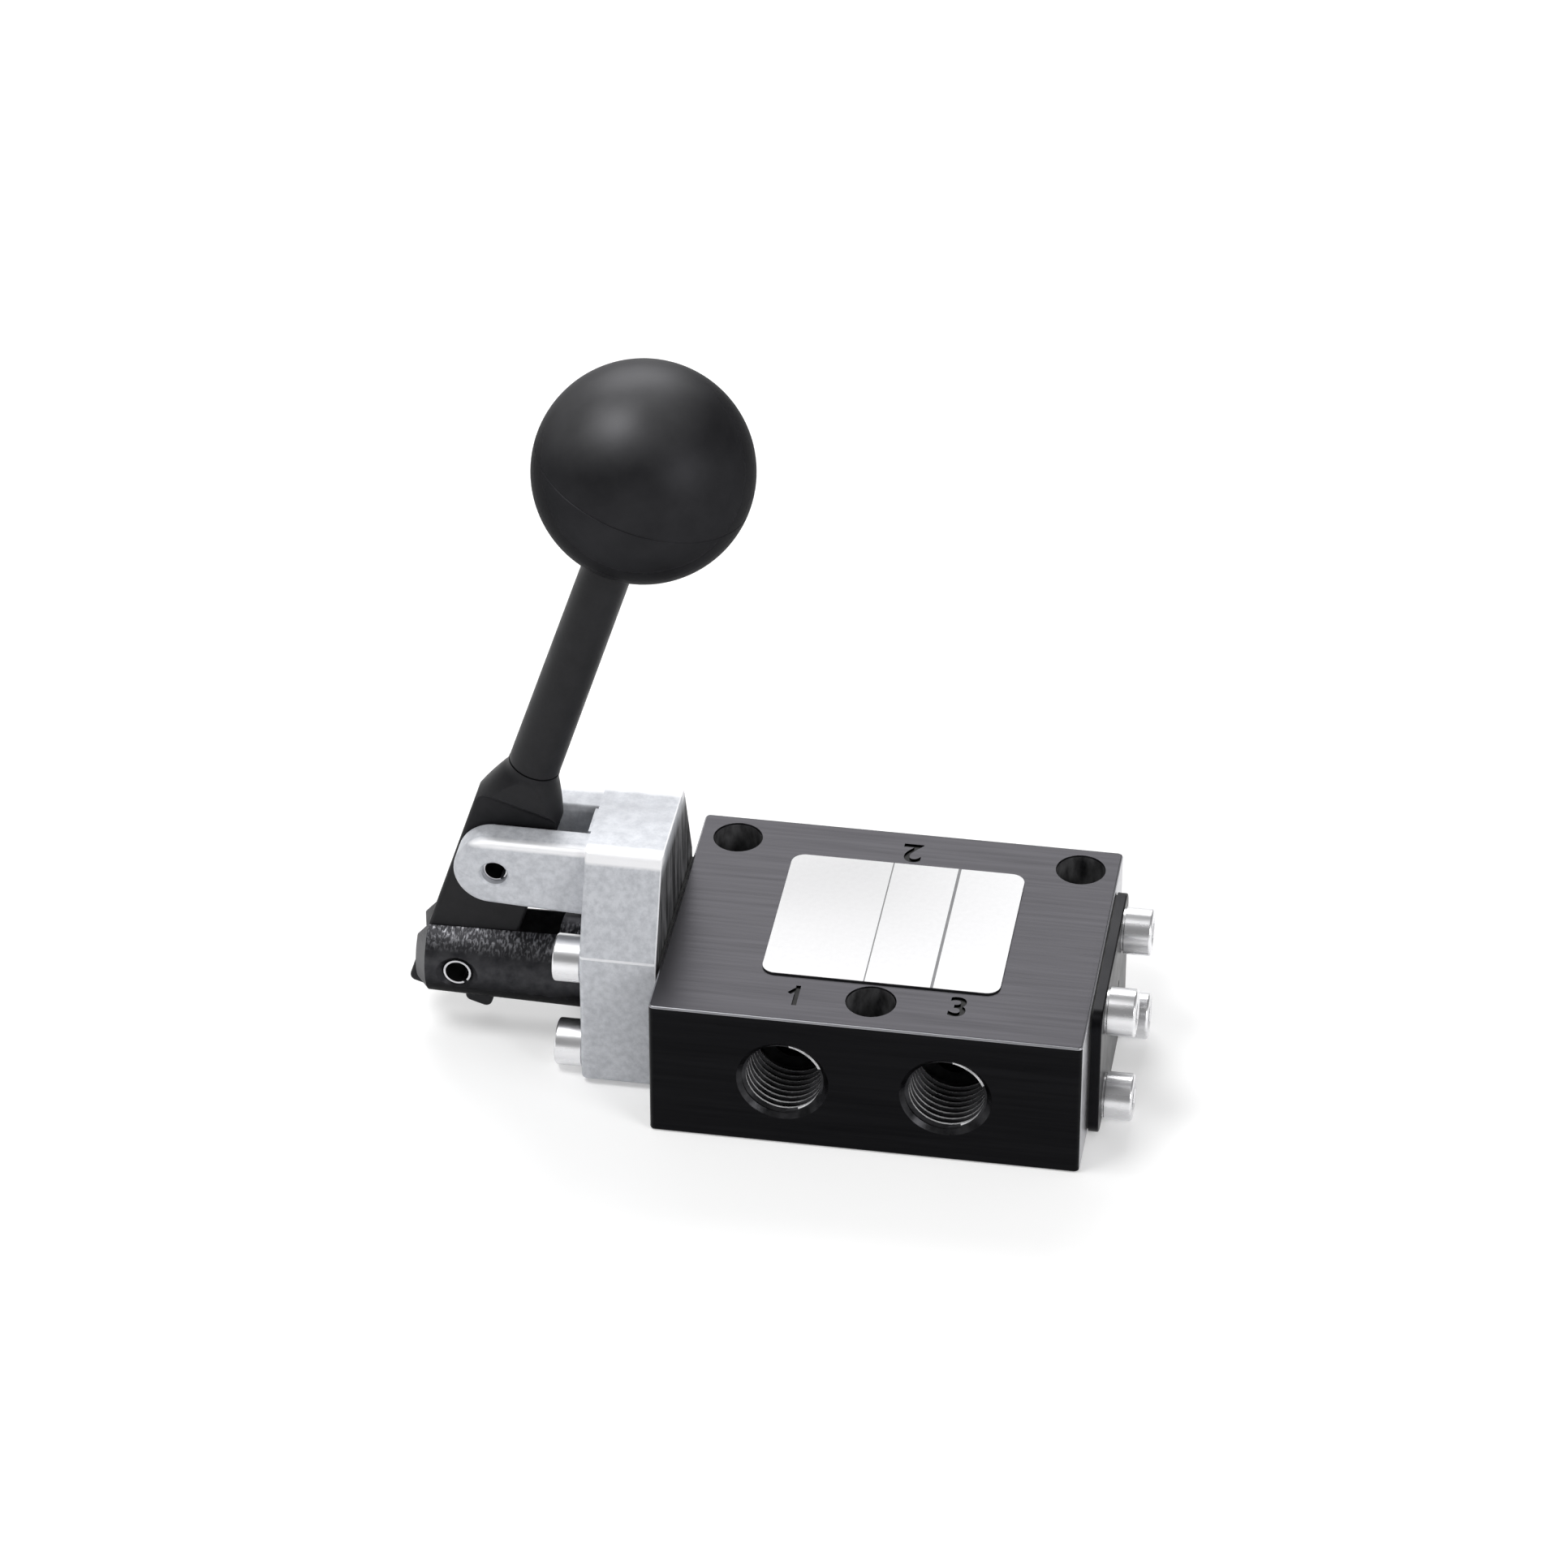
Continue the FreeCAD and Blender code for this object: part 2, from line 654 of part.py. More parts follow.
pieces = {
    "valve_body": valve_body(),
    "lever_bracket": lever_bracket(),
    "bracket_gasket": bracket_gasket(),
    "bracket_screws": bracket_screws(),
    "guide_bush": guide_bush(),
    "stem_wiper": stem_wiper(),
    "stop_washer": stop_washer(),
    "end_gasket": end_gasket(),
    "end_plate": end_plate(),
    "end_plate_screws": end_plate_screws(),
    "pivot_pin": pivot_pin(),
    "spool_stem": spool_stem(),
    "stem_pin": stem_pin(),
    "spool": spool(),
    "spring_seat": spring_seat(),
    "return_spring": return_spring(),
    "lever_arm": lever_arm(),
    "pivot_bush": pivot_bush(),
    "lever_rod": lever_rod(),
    "knob_insert": knob_insert(),
    "ball_knob": ball_knob(),
}
for number, place in enumerate(seal_places, start=1):
    pieces[f"spool_seal_{number}"] = spool_seal(place)

os.makedirs("parts", exist_ok=True)
for name, shape in pieces.items():
    shape.exportStep(f"parts/{name}.step")
    print(name, len(shape.Solids), "solid(s)", round(shape.Volume), "mm3", "valid" if shape.isValid() else "NOT VALID")
print("stem travel", round(travel, 4), "ratio per radian", round(travel / lean_radians, 4))
print("pivot", round(pivot_x, 3), round(pivot_z, 3), "stem pin", round(stem_pin_x, 3))
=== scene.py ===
import json
import math

import bpy
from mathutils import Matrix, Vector


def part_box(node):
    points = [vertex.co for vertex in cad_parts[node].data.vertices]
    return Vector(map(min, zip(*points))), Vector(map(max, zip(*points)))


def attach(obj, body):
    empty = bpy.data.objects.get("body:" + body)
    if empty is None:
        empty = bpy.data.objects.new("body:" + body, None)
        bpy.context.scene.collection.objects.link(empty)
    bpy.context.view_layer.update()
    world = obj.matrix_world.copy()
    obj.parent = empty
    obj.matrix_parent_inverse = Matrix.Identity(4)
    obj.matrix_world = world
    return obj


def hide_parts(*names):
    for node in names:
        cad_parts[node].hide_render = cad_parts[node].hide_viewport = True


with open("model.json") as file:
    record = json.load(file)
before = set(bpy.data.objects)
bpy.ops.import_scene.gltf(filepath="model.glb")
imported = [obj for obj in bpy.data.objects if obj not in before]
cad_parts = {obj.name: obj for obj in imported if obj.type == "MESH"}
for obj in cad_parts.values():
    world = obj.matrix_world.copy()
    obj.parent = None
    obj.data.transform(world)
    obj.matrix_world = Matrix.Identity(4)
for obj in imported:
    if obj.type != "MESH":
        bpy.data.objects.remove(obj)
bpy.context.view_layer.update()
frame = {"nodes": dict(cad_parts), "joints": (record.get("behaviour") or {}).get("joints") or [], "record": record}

mm = 0.001
sliver = 0.01 * mm  # places closer than this count as the same

# Places that the frame gives
blockLow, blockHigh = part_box("valve_body")
bracketLow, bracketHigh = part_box("lever_bracket")
plateLow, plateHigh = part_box("end_plate")
stemLow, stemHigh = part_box("spool_stem")
bushLow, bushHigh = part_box("guide_bush")
spoolHeight = (bushLow.z + bushHigh.z) / 2
spoolLine = (0, 0, spoolHeight)
pivot = Vector(frame["joints"][0]["pos_m"])
leverLean = math.radians(frame["joints"][0]["range_deg"][1])
mounts = {mount["name"]: mount for mount in frame["record"]["mounts"]}
portPitch = mounts["port_3"]["pos_m"][0]
mountRadius = mounts["front_mounting_hole"]["dims"]["r_mm"] * mm


# Modelling helpers
def leaveEdit():
    bpy.ops.object.mode_set(mode="OBJECT")


def clearSelection():
    if bpy.context.object and bpy.context.object.mode != "OBJECT":
        leaveEdit()
    bpy.ops.object.select_all(action="DESELECT")


def makeActive(piece):
    clearSelection()
    piece.select_set(True)
    bpy.context.view_layer.objects.active = piece


def editMesh(piece, action="SELECT", kind=None):
    makeActive(piece)
    bpy.ops.object.mode_set(mode="EDIT")
    if kind:
        bpy.ops.mesh.select_mode(type=kind)
    bpy.ops.mesh.select_all(action=action)


def settle(piece):
    makeActive(piece)
    bpy.ops.object.transform_apply(location=True, rotation=True, scale=True)
    return piece


def copyPiece(model, name):
    piece = model.copy()
    piece.data = model.data.copy()
    piece.name = name
    bpy.context.collection.objects.link(piece)
    return piece


def removePiece(piece):
    bpy.data.objects.remove(piece, do_unlink=True)


def addBox(name, low, high):
    clearSelection()
    bpy.ops.mesh.primitive_cube_add(size=1, location=(Vector(low) + Vector(high)) / 2)
    box = bpy.context.object
    box.name = name
    box.scale = Vector(high) - Vector(low)
    return settle(box)


# A round piece drawn upwards from a disc, with an extrude for each (height, radius), then laid along an axis
def turnPiece(name, profile, place=(0, 0, 0), axis="Z", sides=96):
    clearSelection()
    height, radius = profile[0]
    bpy.ops.mesh.primitive_circle_add(vertices=sides, radius=radius, fill_type="NGON",
                                      location=(0, 0, height))
    piece = bpy.context.object
    piece.name = name
    editMesh(settle(piece))
    for newHeight, newRadius in profile[1:]:
        rise = (0, 0, newHeight - height)
        bpy.ops.mesh.extrude_region_move(TRANSFORM_OT_translate={"value": rise})
        ratio = newRadius / radius
        bpy.ops.transform.resize(value=(ratio, ratio, 1), center_override=(0, 0, newHeight))
        height, radius = newHeight, newRadius
    bpy.ops.mesh.select_all(action="SELECT")
    bpy.ops.mesh.normals_make_consistent(inside=False)
    leaveEdit()
    turns = {"Z": (0, 0, 0), "X": (0, math.pi / 2, 0), "-X": (0, -math.pi / 2, 0),
             "Y": (-math.pi / 2, 0, 0), "-Y": (math.pi / 2, 0, 0)}
    piece.rotation_euler = turns[axis]
    piece.location = place
    return settle(piece)


def pickFaces(piece, test):
    editMesh(piece, "DESELECT", "FACE")
    leaveEdit()
    for face in piece.data.polygons:
        face.select = test(face.center, face.normal)
    bpy.ops.object.mode_set(mode="EDIT")


def pickPoints(piece, test):
    editMesh(piece, "DESELECT", "VERT")
    leaveEdit()
    for point in piece.data.vertices:
        point.select = test(point.co)
    bpy.ops.object.mode_set(mode="EDIT")


# Only edges between faces that turn are picked, so a flat face's inner edges are passed over
def pickEdges(piece, test):
    editMesh(piece, "DESELECT", "EDGE")
    bpy.ops.mesh.edges_select_sharp(sharpness=math.radians(8))
    leaveEdit()
    sharp = [edge for edge in piece.data.edges if edge.select]
    points = piece.data.vertices
    for group in (points, piece.data.edges, piece.data.polygons):
        group.foreach_set("select", [False] * len(group))
    for edge in sharp:
        edge.select = test(points[edge.vertices[0]].co, points[edge.vertices[1]].co)
    bpy.ops.object.mode_set(mode="EDIT")


def bevelEdges(piece, width, segments, test):
    pickEdges(piece, test)
    bpy.ops.mesh.bevel(offset=width, segments=segments, affect="EDGES")
    leaveEdit()


def useModifier(piece, kind, **settings):
    makeActive(piece)
    modifier = piece.modifiers.new(kind.title(), kind)
    for name, value in settings.items():
        setattr(modifier, name, value)
    bpy.ops.object.modifier_apply(modifier=modifier.name)


def join(piece, other, operation="DIFFERENCE"):
    useModifier(piece, "BOOLEAN", operation=operation, object=other, solver="MANIFOLD")
    removePiece(other)


def drillHole(piece, name, start, end, radius, place=(0, 0, 0), axis="Z", sides=96):
    join(piece, turnPiece(name, [(start, radius), (end, radius)], place, axis, sides))


# Welds what a modifier or a text left unjoined, and turns every face outwards
def weld(piece):
    editMesh(piece)
    bpy.ops.mesh.remove_doubles(threshold=0.003 * mm)
    bpy.ops.mesh.normals_make_consistent(inside=False)
    leaveEdit()


def sameLevel(a, b):
    return abs(a - b) < sliver


def bothAt(a, b, axis, level):
    return sameLevel(getattr(a, axis), level) and sameLevel(getattr(b, axis), level)


def finishPiece(piece, body, material, nodes, smoothAngle=32):
    makeActive(piece)
    bpy.ops.object.shade_smooth_by_angle(angle=math.radians(smoothAngle))
    useModifier(piece, "WEIGHTED_NORMAL", keep_sharp=True)
    piece.data.materials.clear()
    piece.data.materials.append(material)
    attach(piece, body)
    if nodes:
        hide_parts(*nodes)
    print("made", piece.name, len(piece.data.polygons), "faces")


# Material helpers: noise stays mostly between these two values
noiseLow, noiseHigh = 0.3, 0.7


def newMaterial(name):
    material = bpy.data.materials.new(name)
    material.use_nodes = True
    shader = material.node_tree.nodes["Principled BSDF"]
    return material, material.node_tree, shader


def addNode(tree, kind, inputs=None, **settings):
    node = tree.nodes.new("ShaderNode" + kind)
    for name, value in settings.items():
        setattr(node, name, value)
    for name, value in (inputs or {}).items():
        node.inputs[name].default_value = value
    return node


def link(tree, source, target):
    tree.links.new(source, target)


# A low edge value takes the bright rim off a metal
def setGloss(shader, metal, gloss=0.5, edge=1):
    shader.inputs["Metallic"].default_value = metal
    shader.inputs["Specular IOR Level"].default_value = gloss
    shader.inputs["Specular Tint"].default_value = (edge, edge, edge, 1)


# Object coordinates, stretched for brushed or drawn finishes
def surfacePlace(tree, stretch=(1, 1, 1)):
    place = addNode(tree, "TexCoord")
    mapping = addNode(tree, "Mapping", {"Scale": stretch})
    link(tree, place.outputs["Object"], mapping.inputs["Vector"])
    return mapping.outputs["Vector"]


def splitPlace(tree):
    node = addNode(tree, "SeparateXYZ")
    link(tree, surfacePlace(tree), node.inputs["Vector"])
    return node.outputs


def noise(tree, place, scale, detail=4, roughness=0.55):
    node = addNode(tree, "TexNoise", {"Scale": scale, "Detail": detail, "Roughness": roughness})
    link(tree, place, node.inputs["Vector"])
    return node.outputs["Fac"]


def ramp(tree, value, lowColour, highColour, low=noiseLow, high=noiseHigh):
    node = addNode(tree, "ValToRGB")
    stops = node.color_ramp.elements
    stops[0].position, stops[1].position = low, high
    stops[0].color = (*lowColour, 1)
    stops[1].color = (*highColour, 1)
    link(tree, value, node.inputs["Fac"])
    return node.outputs["Color"]


# Turns start into low and end into high
def mapRange(tree, value, start, end, low=0, high=1, **settings):
    inputs = {"From Min": start, "From Max": end, "To Min": low, "To Max": high}
    node = addNode(tree, "MapRange", inputs, **settings)
    link(tree, value, node.inputs["Value"])
    return node.outputs["Result"]


def spread(tree, value, low, high):
    return mapRange(tree, value, noiseLow, noiseHigh, low, high)


def mathNode(tree, operation, first, second=0.0, third=0.0):
    node = addNode(tree, "Math", operation=operation)
    for socket, value in zip(node.inputs, (first, second, third)):
        if isinstance(value, float):
            socket.default_value = value
        else:
            link(tree, value, socket)
    return node.outputs[0]


def mixColours(tree, share, low, high):
    node = addNode(tree, "Mix", data_type="RGBA")
    for name, value in (("Factor", share), ("A", low), ("B", high)):
        if isinstance(value, tuple):
            node.inputs[name].default_value = (*value, 1)
        else:
            link(tree, value, node.inputs[name])
    return node.outputs["Result"]


# A bump on top of those that the shader already has
def bump(tree, shader, value, strength, depth):
    node = addNode(tree, "Bump", {"Strength": strength, "Distance": depth})
    link(tree, value, node.inputs["Height"])
    before = shader.inputs["Normal"].links
    if before:
        link(tree, before[0].from_socket, node.inputs["Normal"])
    link(tree, node.outputs["Normal"], shader.inputs["Normal"])


# A metal or moulded finish: mottled colour, uneven roughness and a fine skin
def plainFinish(name, look):
    material, tree, shader = newMaterial(name)
    setGloss(shader, look["metal"], look.get("gloss", 0.5), look.get("edge", 1))
    place = surfacePlace(tree, look.get("stretch", (1, 1, 1)))
    cloud = noise(tree, place, look["cloud"], 5)
    link(tree, ramp(tree, cloud, look["dark"], look["light"]), shader.inputs["Base Color"])
    grain = noise(tree, place, look["grain"], 3, 0.6)
    link(tree, spread(tree, cloud, *look["rough"]), shader.inputs["Roughness"])
    bump(tree, shader, grain, look["bump"], look["depth"])
    return material


# Valve block: bored through for the spool, with three threaded ports and three mounting holes
block = {
    "corner": 0.9 * mm, "edge": 0.4 * mm,
    "bore": 8 * mm, "bushBore": 9.51 * mm, "stopDepth": 2 * mm,
    "passage": 9.6 * mm, "sidePassage": 8 * mm, "middlePassage": 6 * mm,
    "drill": 3.5 * mm, "mouth": 7.65 * mm, "mouthEnd": 6.7 * mm, "mouthDepth": 0.95 * mm,
    "threadRoot": 6.95 * mm, "threadCrest": 6.3 * mm, "crestBand": 0.12 * mm, "faceBand": 0.02 * mm,
    "threadPitch": 1.41 * mm, "threadDepth": 11.65 * mm, "threadSteps": 48,
    "holeMouth": 0.2 * mm, "wallBand": 0.05 * mm, "tap": 2.45 * mm, "tapDepth": 11 * mm,
    "digits": {"3": (14.2 * mm, -20 * mm, 0), "2": (0.6 * mm, 22.2 * mm, math.pi)},
    "digitSize": 7.2 * mm, "digitDepth": 0.3 * mm, "digitWeight": 0.12 * mm,
    "onePlace": (-12.3 * mm, -20.9 * mm), "barWidth": 0.8 * mm, "barHeight": 5.4 * mm,
    "flagLength": 2.2 * mm, "flagTurn": math.radians(50), "flagPlace": (0.16 * mm, 2.14 * mm),
    "flagDepth": 0.294 * mm,
}


# Black anodising: faint drawn lines, a painted sheen on the top face with painted highlights along its edges, dark
# stamped digits and a painted reflection on the +X end
def makeBlockBlack():
    look = {
        "dark": (0.0055, 0.0055, 0.0062), "light": (0.009, 0.009, 0.01), "lines": 1100,
        "stretch": (0.03, 1, 1), "rough": (0.31, 0.39), "bump": 0.05, "depth": 0.04 * mm,
        "worn": (0.33, 0.33, 0.35), "wornWidth": 0.45 * mm, "wornDepth": 0.2 * mm, "wornReach": 0.17 * mm,
        "top": (0.034, 0.033, 0.037), "topDepth": 0.02 * mm,
        "end": (0.5, 0.5, 0.52), "endDepth": 0.1 * mm,
        "stamp": (0.005, 0.005, 0.005), "stampReach": 0.1 * mm,
    }
    material, tree, shader = newMaterial("blockBlack")
    setGloss(shader, 1)
    lines = noise(tree, surfacePlace(tree, look["stretch"]), look["lines"], 3, 0.6)
    colour = ramp(tree, lines, look["dark"], look["light"])
    axes = splitPlace(tree)
    across = mathNode(tree, "SUBTRACT", mathNode(tree, "ABSOLUTE", axes["X"]), blockHigh.x)
    along = mathNode(tree, "SUBTRACT", mathNode(tree, "ABSOLUTE", axes["Y"]), blockHigh.y)
    border = mathNode(tree, "MAXIMUM", across, along)
    border = mathNode(tree, "GREATER_THAN", border, -look["wornWidth"])
    # Painted highlight: a pale band along the top edges stands in for the light they reflect
    worn = mathNode(tree, "COMPARE", axes["Z"], blockHigh.z - look["wornDepth"], look["wornReach"])
    colour = mixColours(tree, mathNode(tree, "MULTIPLY", worn, border), colour, look["worn"])
    # Painted sheen: the top face gets a paler base that stands in for the lamp it reflects
    top = mathNode(tree, "GREATER_THAN", axes["Z"], blockHigh.z - look["topDepth"])
    colour = mixColours(tree, top, colour, look["top"])
    low = mathNode(tree, "COMPARE", axes["Z"], blockHigh.z - block["digitDepth"], look["stampReach"])
    stamp = mathNode(tree, "GREATER_THAN", mathNode(tree, "SUBTRACT", low, border), 0.5)
    colour = mixColours(tree, stamp, colour, look["stamp"])
    # Painted reflection: the +X end face is painted pale grey for the floor it reflects
    cut = mathNode(tree, "GREATER_THAN", axes["X"], blockHigh.x - look["endDepth"])
    colour = mixColours(tree, cut, colour, look["end"])
    link(tree, colour, shader.inputs["Base Color"])
    link(tree, spread(tree, lines, *look["rough"]), shader.inputs["Roughness"])
    bump(tree, shader, lines, look["bump"], look["depth"])
    return material


def makeThreadBlack():
    look = {
        "metal": 0.9, "dark": (0.01, 0.01, 0.011), "light": (0.045, 0.045, 0.048), "gloss": 0.1, "edge": 0.1,
        "cloud": 350, "grain": 1600, "rough": (0.24, 0.36), "bump": 0.15, "depth": 0.06 * mm,
    }
    return plainFinish("threadBlack", look)


# Painted highlight: a pale finish for the thread crests, standing in for the light they catch
def makeThreadCrest():
    look = {
        "metal": 0.15, "dark": (0.4, 0.4, 0.41), "light": (0.9, 0.9, 0.92),
        "cloud": 420, "grain": 1600, "rough": (0.22, 0.32), "bump": 0.15, "depth": 0.06 * mm,
    }
    return plainFinish("threadCrest", look)


def makeHoleWall():
    look = {
        "metal": 0.2, "dark": (0.01, 0.01, 0.011), "light": (0.15, 0.15, 0.155), "stretch": (1, 1, 0.45),
        "cloud": 500, "grain": 1600, "rough": (0.28, 0.4), "bump": 0.2, "depth": 0.06 * mm,
    }
    return plainFinish("holeWall", look)


def cutSpoolBore(piece):
    end = blockHigh.x
    drillHole(piece, "bore", -end - mm, end + mm, block["bore"], spoolLine, "X")
    drillHole(piece, "stopSeat", -end - mm, block["stopDepth"] - end, block["bushBore"], spoolLine, "X")
    side, middle = block["sidePassage"], block["middlePassage"]
    for x, width in ((-portPitch, side), (0, middle), (portPitch, side)):
        drillHole(piece, "passage", x - width / 2, x + width / 2, block["passage"], spoolLine, "X")


# The thread's cutter: part of each turn stands out to the thread's root, and both ends are cut level
def makeThreadTap():
    crest, root, pitch = block["threadCrest"], block["threadRoot"], block["threadPitch"]
    start, end, steps = -mm, block["threadDepth"], block["threadSteps"]
    clearSelection()
    bpy.ops.mesh.primitive_plane_add(size=pitch, rotation=(math.pi / 2, 0, 0), location=(crest, 0, 0))
    tap = settle(bpy.context.object)
    tap.name = "threadTap"
    pickPoints(tap, lambda point: point.x > crest)
    bpy.ops.mesh.delete(type="VERT")
    bpy.ops.mesh.select_all(action="SELECT")
    bpy.ops.transform.translate(value=(pitch / 2, 0, 0))
    bpy.ops.mesh.subdivide(number_cuts=3)
    leaveEdit()
    pickPoints(tap, lambda point: -0.1 * pitch < point.z < 0.4 * pitch)
    bpy.ops.transform.translate(value=(root - crest, 0, 0))
    leaveEdit()
    turns = math.ceil((end - start) / pitch) + 2
    useModifier(tap, "SCREW", axis="Z", angle=2 * math.pi, screw_offset=pitch, iterations=turns,
                steps=steps, render_steps=steps)
    weld(tap)
    tap.location.z = start - 1.2 * pitch
    settle(tap)
    for height, direction in ((start, -1), (end, 1)):
        editMesh(tap)
        bpy.ops.mesh.bisect(plane_co=(0, 0, height), plane_no=(0, 0, direction), use_fill=True,
                            clear_outer=True)
        leaveEdit()
    weld(tap)
    return tap


def cutPort(piece, tap, portName):
    port = mounts[portName]
    side = port["axis"][1]
    wall = (port["pos_m"][0], side * blockHigh.y, spoolHeight)
    inward = "-Y" if side > 0 else "Y"
    depth, end = block["mouthDepth"], block["mouthEnd"]
    flare = (block["mouth"] - end) / depth * mm
    join(piece, turnPiece("mouth", [(-mm, block["mouth"] + flare), (depth, end)], wall, inward))
    drillHole(piece, "drill", -mm, blockHigh.y - block["bore"] / 2, block["drill"], wall, inward, 48)
    cutter = copyPiece(tap, "threadCutter")
    cutter.rotation_euler = (math.pi / 2 * side, 0, 0)
    cutter.location = wall
    join(piece, settle(cutter))


def mountPlaces():
    rear, front = mounts["rear_mounting_holes"], mounts["front_mounting_hole"]
    half = rear["dims"]["spacing_x_mm"] * mm / 2
    return [(-half, rear["pos_m"][1]), (half, rear["pos_m"][1]), (0, front["pos_m"][1])]


def cutMountHoles(piece):
    edge, top = block["holeMouth"], blockHigh.z
    wide = mountRadius + edge + mm
    profile = [(-mm, wide), (edge, mountRadius), (top - edge, mountRadius), (top + mm, wide)]
    for x, y in mountPlaces():
        join(piece, turnPiece("mountHole", profile, (x, y, 0), "Z", 72))


def screwPlaces():
    low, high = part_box("bracket_screws")
    head = screw["head"]
    return [(y, z) for y in (low.y + head, high.y - head) for z in (low.z + head, high.z - head)]


def cutScrewThreads(piece):
    inner, outer = blockHigh.x - block["tapDepth"], blockHigh.x + mm
    for y, z in screwPlaces():
        for start, end in ((-outer, -inner), (inner, outer)):
            drillHole(piece, "tapping", start, end, block["tap"], (0, y, z), "X", 32)


# The 1 is a bar with a flag at its top
def stampOne(piece):
    half, tall, depth = block["barWidth"] / 2, block["barHeight"] / 2, block["digitDepth"]
    bar = addBox("stampOne", (-half, -tall, -depth), (half, tall, depth))
    flagDepth = block["flagDepth"]
    flag = addBox("flag", (-block["flagLength"], -half, -flagDepth), (0, half, flagDepth))
    flag.rotation_euler.z = block["flagTurn"]
    flag.location = (*block["flagPlace"], 0)
    join(bar, settle(flag), "UNION")
    bar.location = (*block["onePlace"], blockHigh.z)
    join(piece, settle(bar))


def stampDigit(piece, digit, x, y, turn):
    clearSelection()
    bpy.ops.object.text_add(location=(0, 0, 0))
    text = bpy.context.object
    text.data.body = digit
    text.data.size = block["digitSize"]
    text.data.extrude = block["digitDepth"]
    text.data.offset = block["digitWeight"]
    text.data.align_x = "CENTER"
    text.data.align_y = "CENTER"
    bpy.ops.object.convert(target="MESH")
    text.rotation_euler.z = turn
    text.location = (x, y, blockHigh.z)
    weld(settle(text))
    join(piece, text)


# Threads and hole walls have finishes of their own, and the threads' crests that don't face down get a painted
# highlight
def paintHoles(piece):
    for finish in (makeThreadBlack(), makeThreadCrest(), makeHoleWall()):
        piece.data.materials.append(finish)
    threadSlot, crestSlot, wallSlot = 1, 2, 3
    holes = mountPlaces()
    wallLow, wallHigh = block["holeMouth"], blockHigh.z - block["holeMouth"]
    for face in piece.data.polygons:
        spot = face.center
        deep = blockHigh.y - abs(spot.y)
        portLines = (-portPitch, portPitch) if spot.y < 0 else (0,)
        fromPort = min(math.hypot(spot.x - x, spot.z - spoolHeight) for x in portLines)
        fromHole = min(math.hypot(spot.x - x, spot.y - y) for x, y in holes)
        if wallLow < spot.z < wallHigh and fromHole < mountRadius + block["wallBand"]:
            face.material_index = wallSlot
        elif deep > block["faceBand"] and fromPort < block["mouth"]:
            threaded = block["mouthDepth"] < deep < block["threadDepth"]
            # Only crests that don't face down get the painted highlight
            onCrest = abs(fromPort - block["threadCrest"]) < block["crestBand"] and face.normal.z > -0.1
            face.material_index = crestSlot if threaded and onCrest else threadSlot


def makeBlock():
    piece = addBox("valveBlock", blockLow, blockHigh)
    bevelEdges(piece, block["corner"], 4, lambda a, b: not sameLevel(a.z, b.z))
    bevelEdges(piece, block["edge"], 3, lambda a, b: sameLevel(a.z, b.z))
    cutSpoolBore(piece)
    tap = makeThreadTap()
    for portName in ("port_1", "port_2", "port_3"):
        cutPort(piece, tap, portName)
    removePiece(tap)
    cutMountHoles(piece)
    cutScrewThreads(piece)
    stampOne(piece)
    for digit, (x, y, turn) in block["digits"].items():
        stampDigit(piece, digit, x, y, turn)
    finishPiece(piece, "root", makeBlockBlack(), ["valve_body"])
    paintHoles(piece)


# Label: a bare white film with two printed rules, each given by its middle and its width
label = {
    "low": (-19.1 * mm, -15.7 * mm), "high": (20.4 * mm, 18.15 * mm), "thickness": 0.35 * mm,
    "corner": 2.3 * mm, "rim": 0.04 * mm,
    "rules": ((-1.95 * mm, 0.22 * mm), (9.25 * mm, 0.5 * mm)),
}


def makeLabelFilm():
    look = {
        "dark": (0.8, 0.8, 0.81), "light": (0.86, 0.86, 0.87), "rule": (0.14, 0.14, 0.15),
        "edge": (0.02, 0.02, 0.022), "grain": 900, "rough": (0.4, 0.5), "bump": 0.05, "depth": 0.05 * mm,
    }
    material, tree, shader = newMaterial("labelFilm")
    place = surfacePlace(tree)
    axes = splitPlace(tree)
    grain = noise(tree, place, look["grain"], 3)
    colour = ramp(tree, grain, look["dark"], look["light"])
    for middle, width in label["rules"]:
        rule = mathNode(tree, "COMPARE", axes["X"], middle, width / 2)
        colour = mixColours(tree, rule, colour, look["rule"])
    # Painted shade: the film's sides below its top rim are painted near black, as the shadow along the label's
    # edge
    edge = mathNode(tree, "LESS_THAN", axes["Z"], blockHigh.z + label["thickness"] - label["rim"])
    colour = mixColours(tree, edge, colour, look["edge"])
    link(tree, colour, shader.inputs["Base Color"])
    link(tree, spread(tree, grain, *look["rough"]), shader.inputs["Roughness"])
    bump(tree, shader, grain, look["bump"], look["depth"])
    return material


def makeLabel():
    low = (*label["low"], blockHigh.z)
    high = (*label["high"], blockHigh.z + label["thickness"])
    piece = addBox("label", low, high)
    bevelEdges(piece, label["corner"], 10, lambda a, b: not sameLevel(a.z, b.z))
    bevelEdges(piece, label["rim"], 2, lambda a, b: a.z > blockHigh.z + label["rim"] and sameLevel(a.z, b.z))
    finishPiece(piece, "root", makeLabelFilm(), [])


# Lever bracket: a house-shaped base, two round-nosed ears and the web between them
bracket = {
    "depth": 13 * mm, "ridge": 25.8 * mm, "topHalf": 10.4 * mm, "lowCorner": 1.5 * mm, "rim": 0.8 * mm,
    "ridgeEdge": 0.35 * mm, "topEdge": 1.0 * mm, "backEdge": 0.25 * mm,
    "earInner": 3.2 * mm, "earThickness": 6.2 * mm, "earHeight": 12.4 * mm, "earDrop": 0.7 * mm,
    "earDraft": 1.0 * mm, "earRim": 1.1 * mm, "root": 4 * mm, "web": 0.7 * mm,
    "bushBore": 9.51 * mm, "bushDepth": 5.6 * mm, "stemHole": 8.3 * mm,
    "pinHole": 2.15 * mm, "pinMouth": 0.4 * mm, "screwHole": 2.65 * mm,
}
bracketOuter = bracketHigh.x - bracket["depth"]
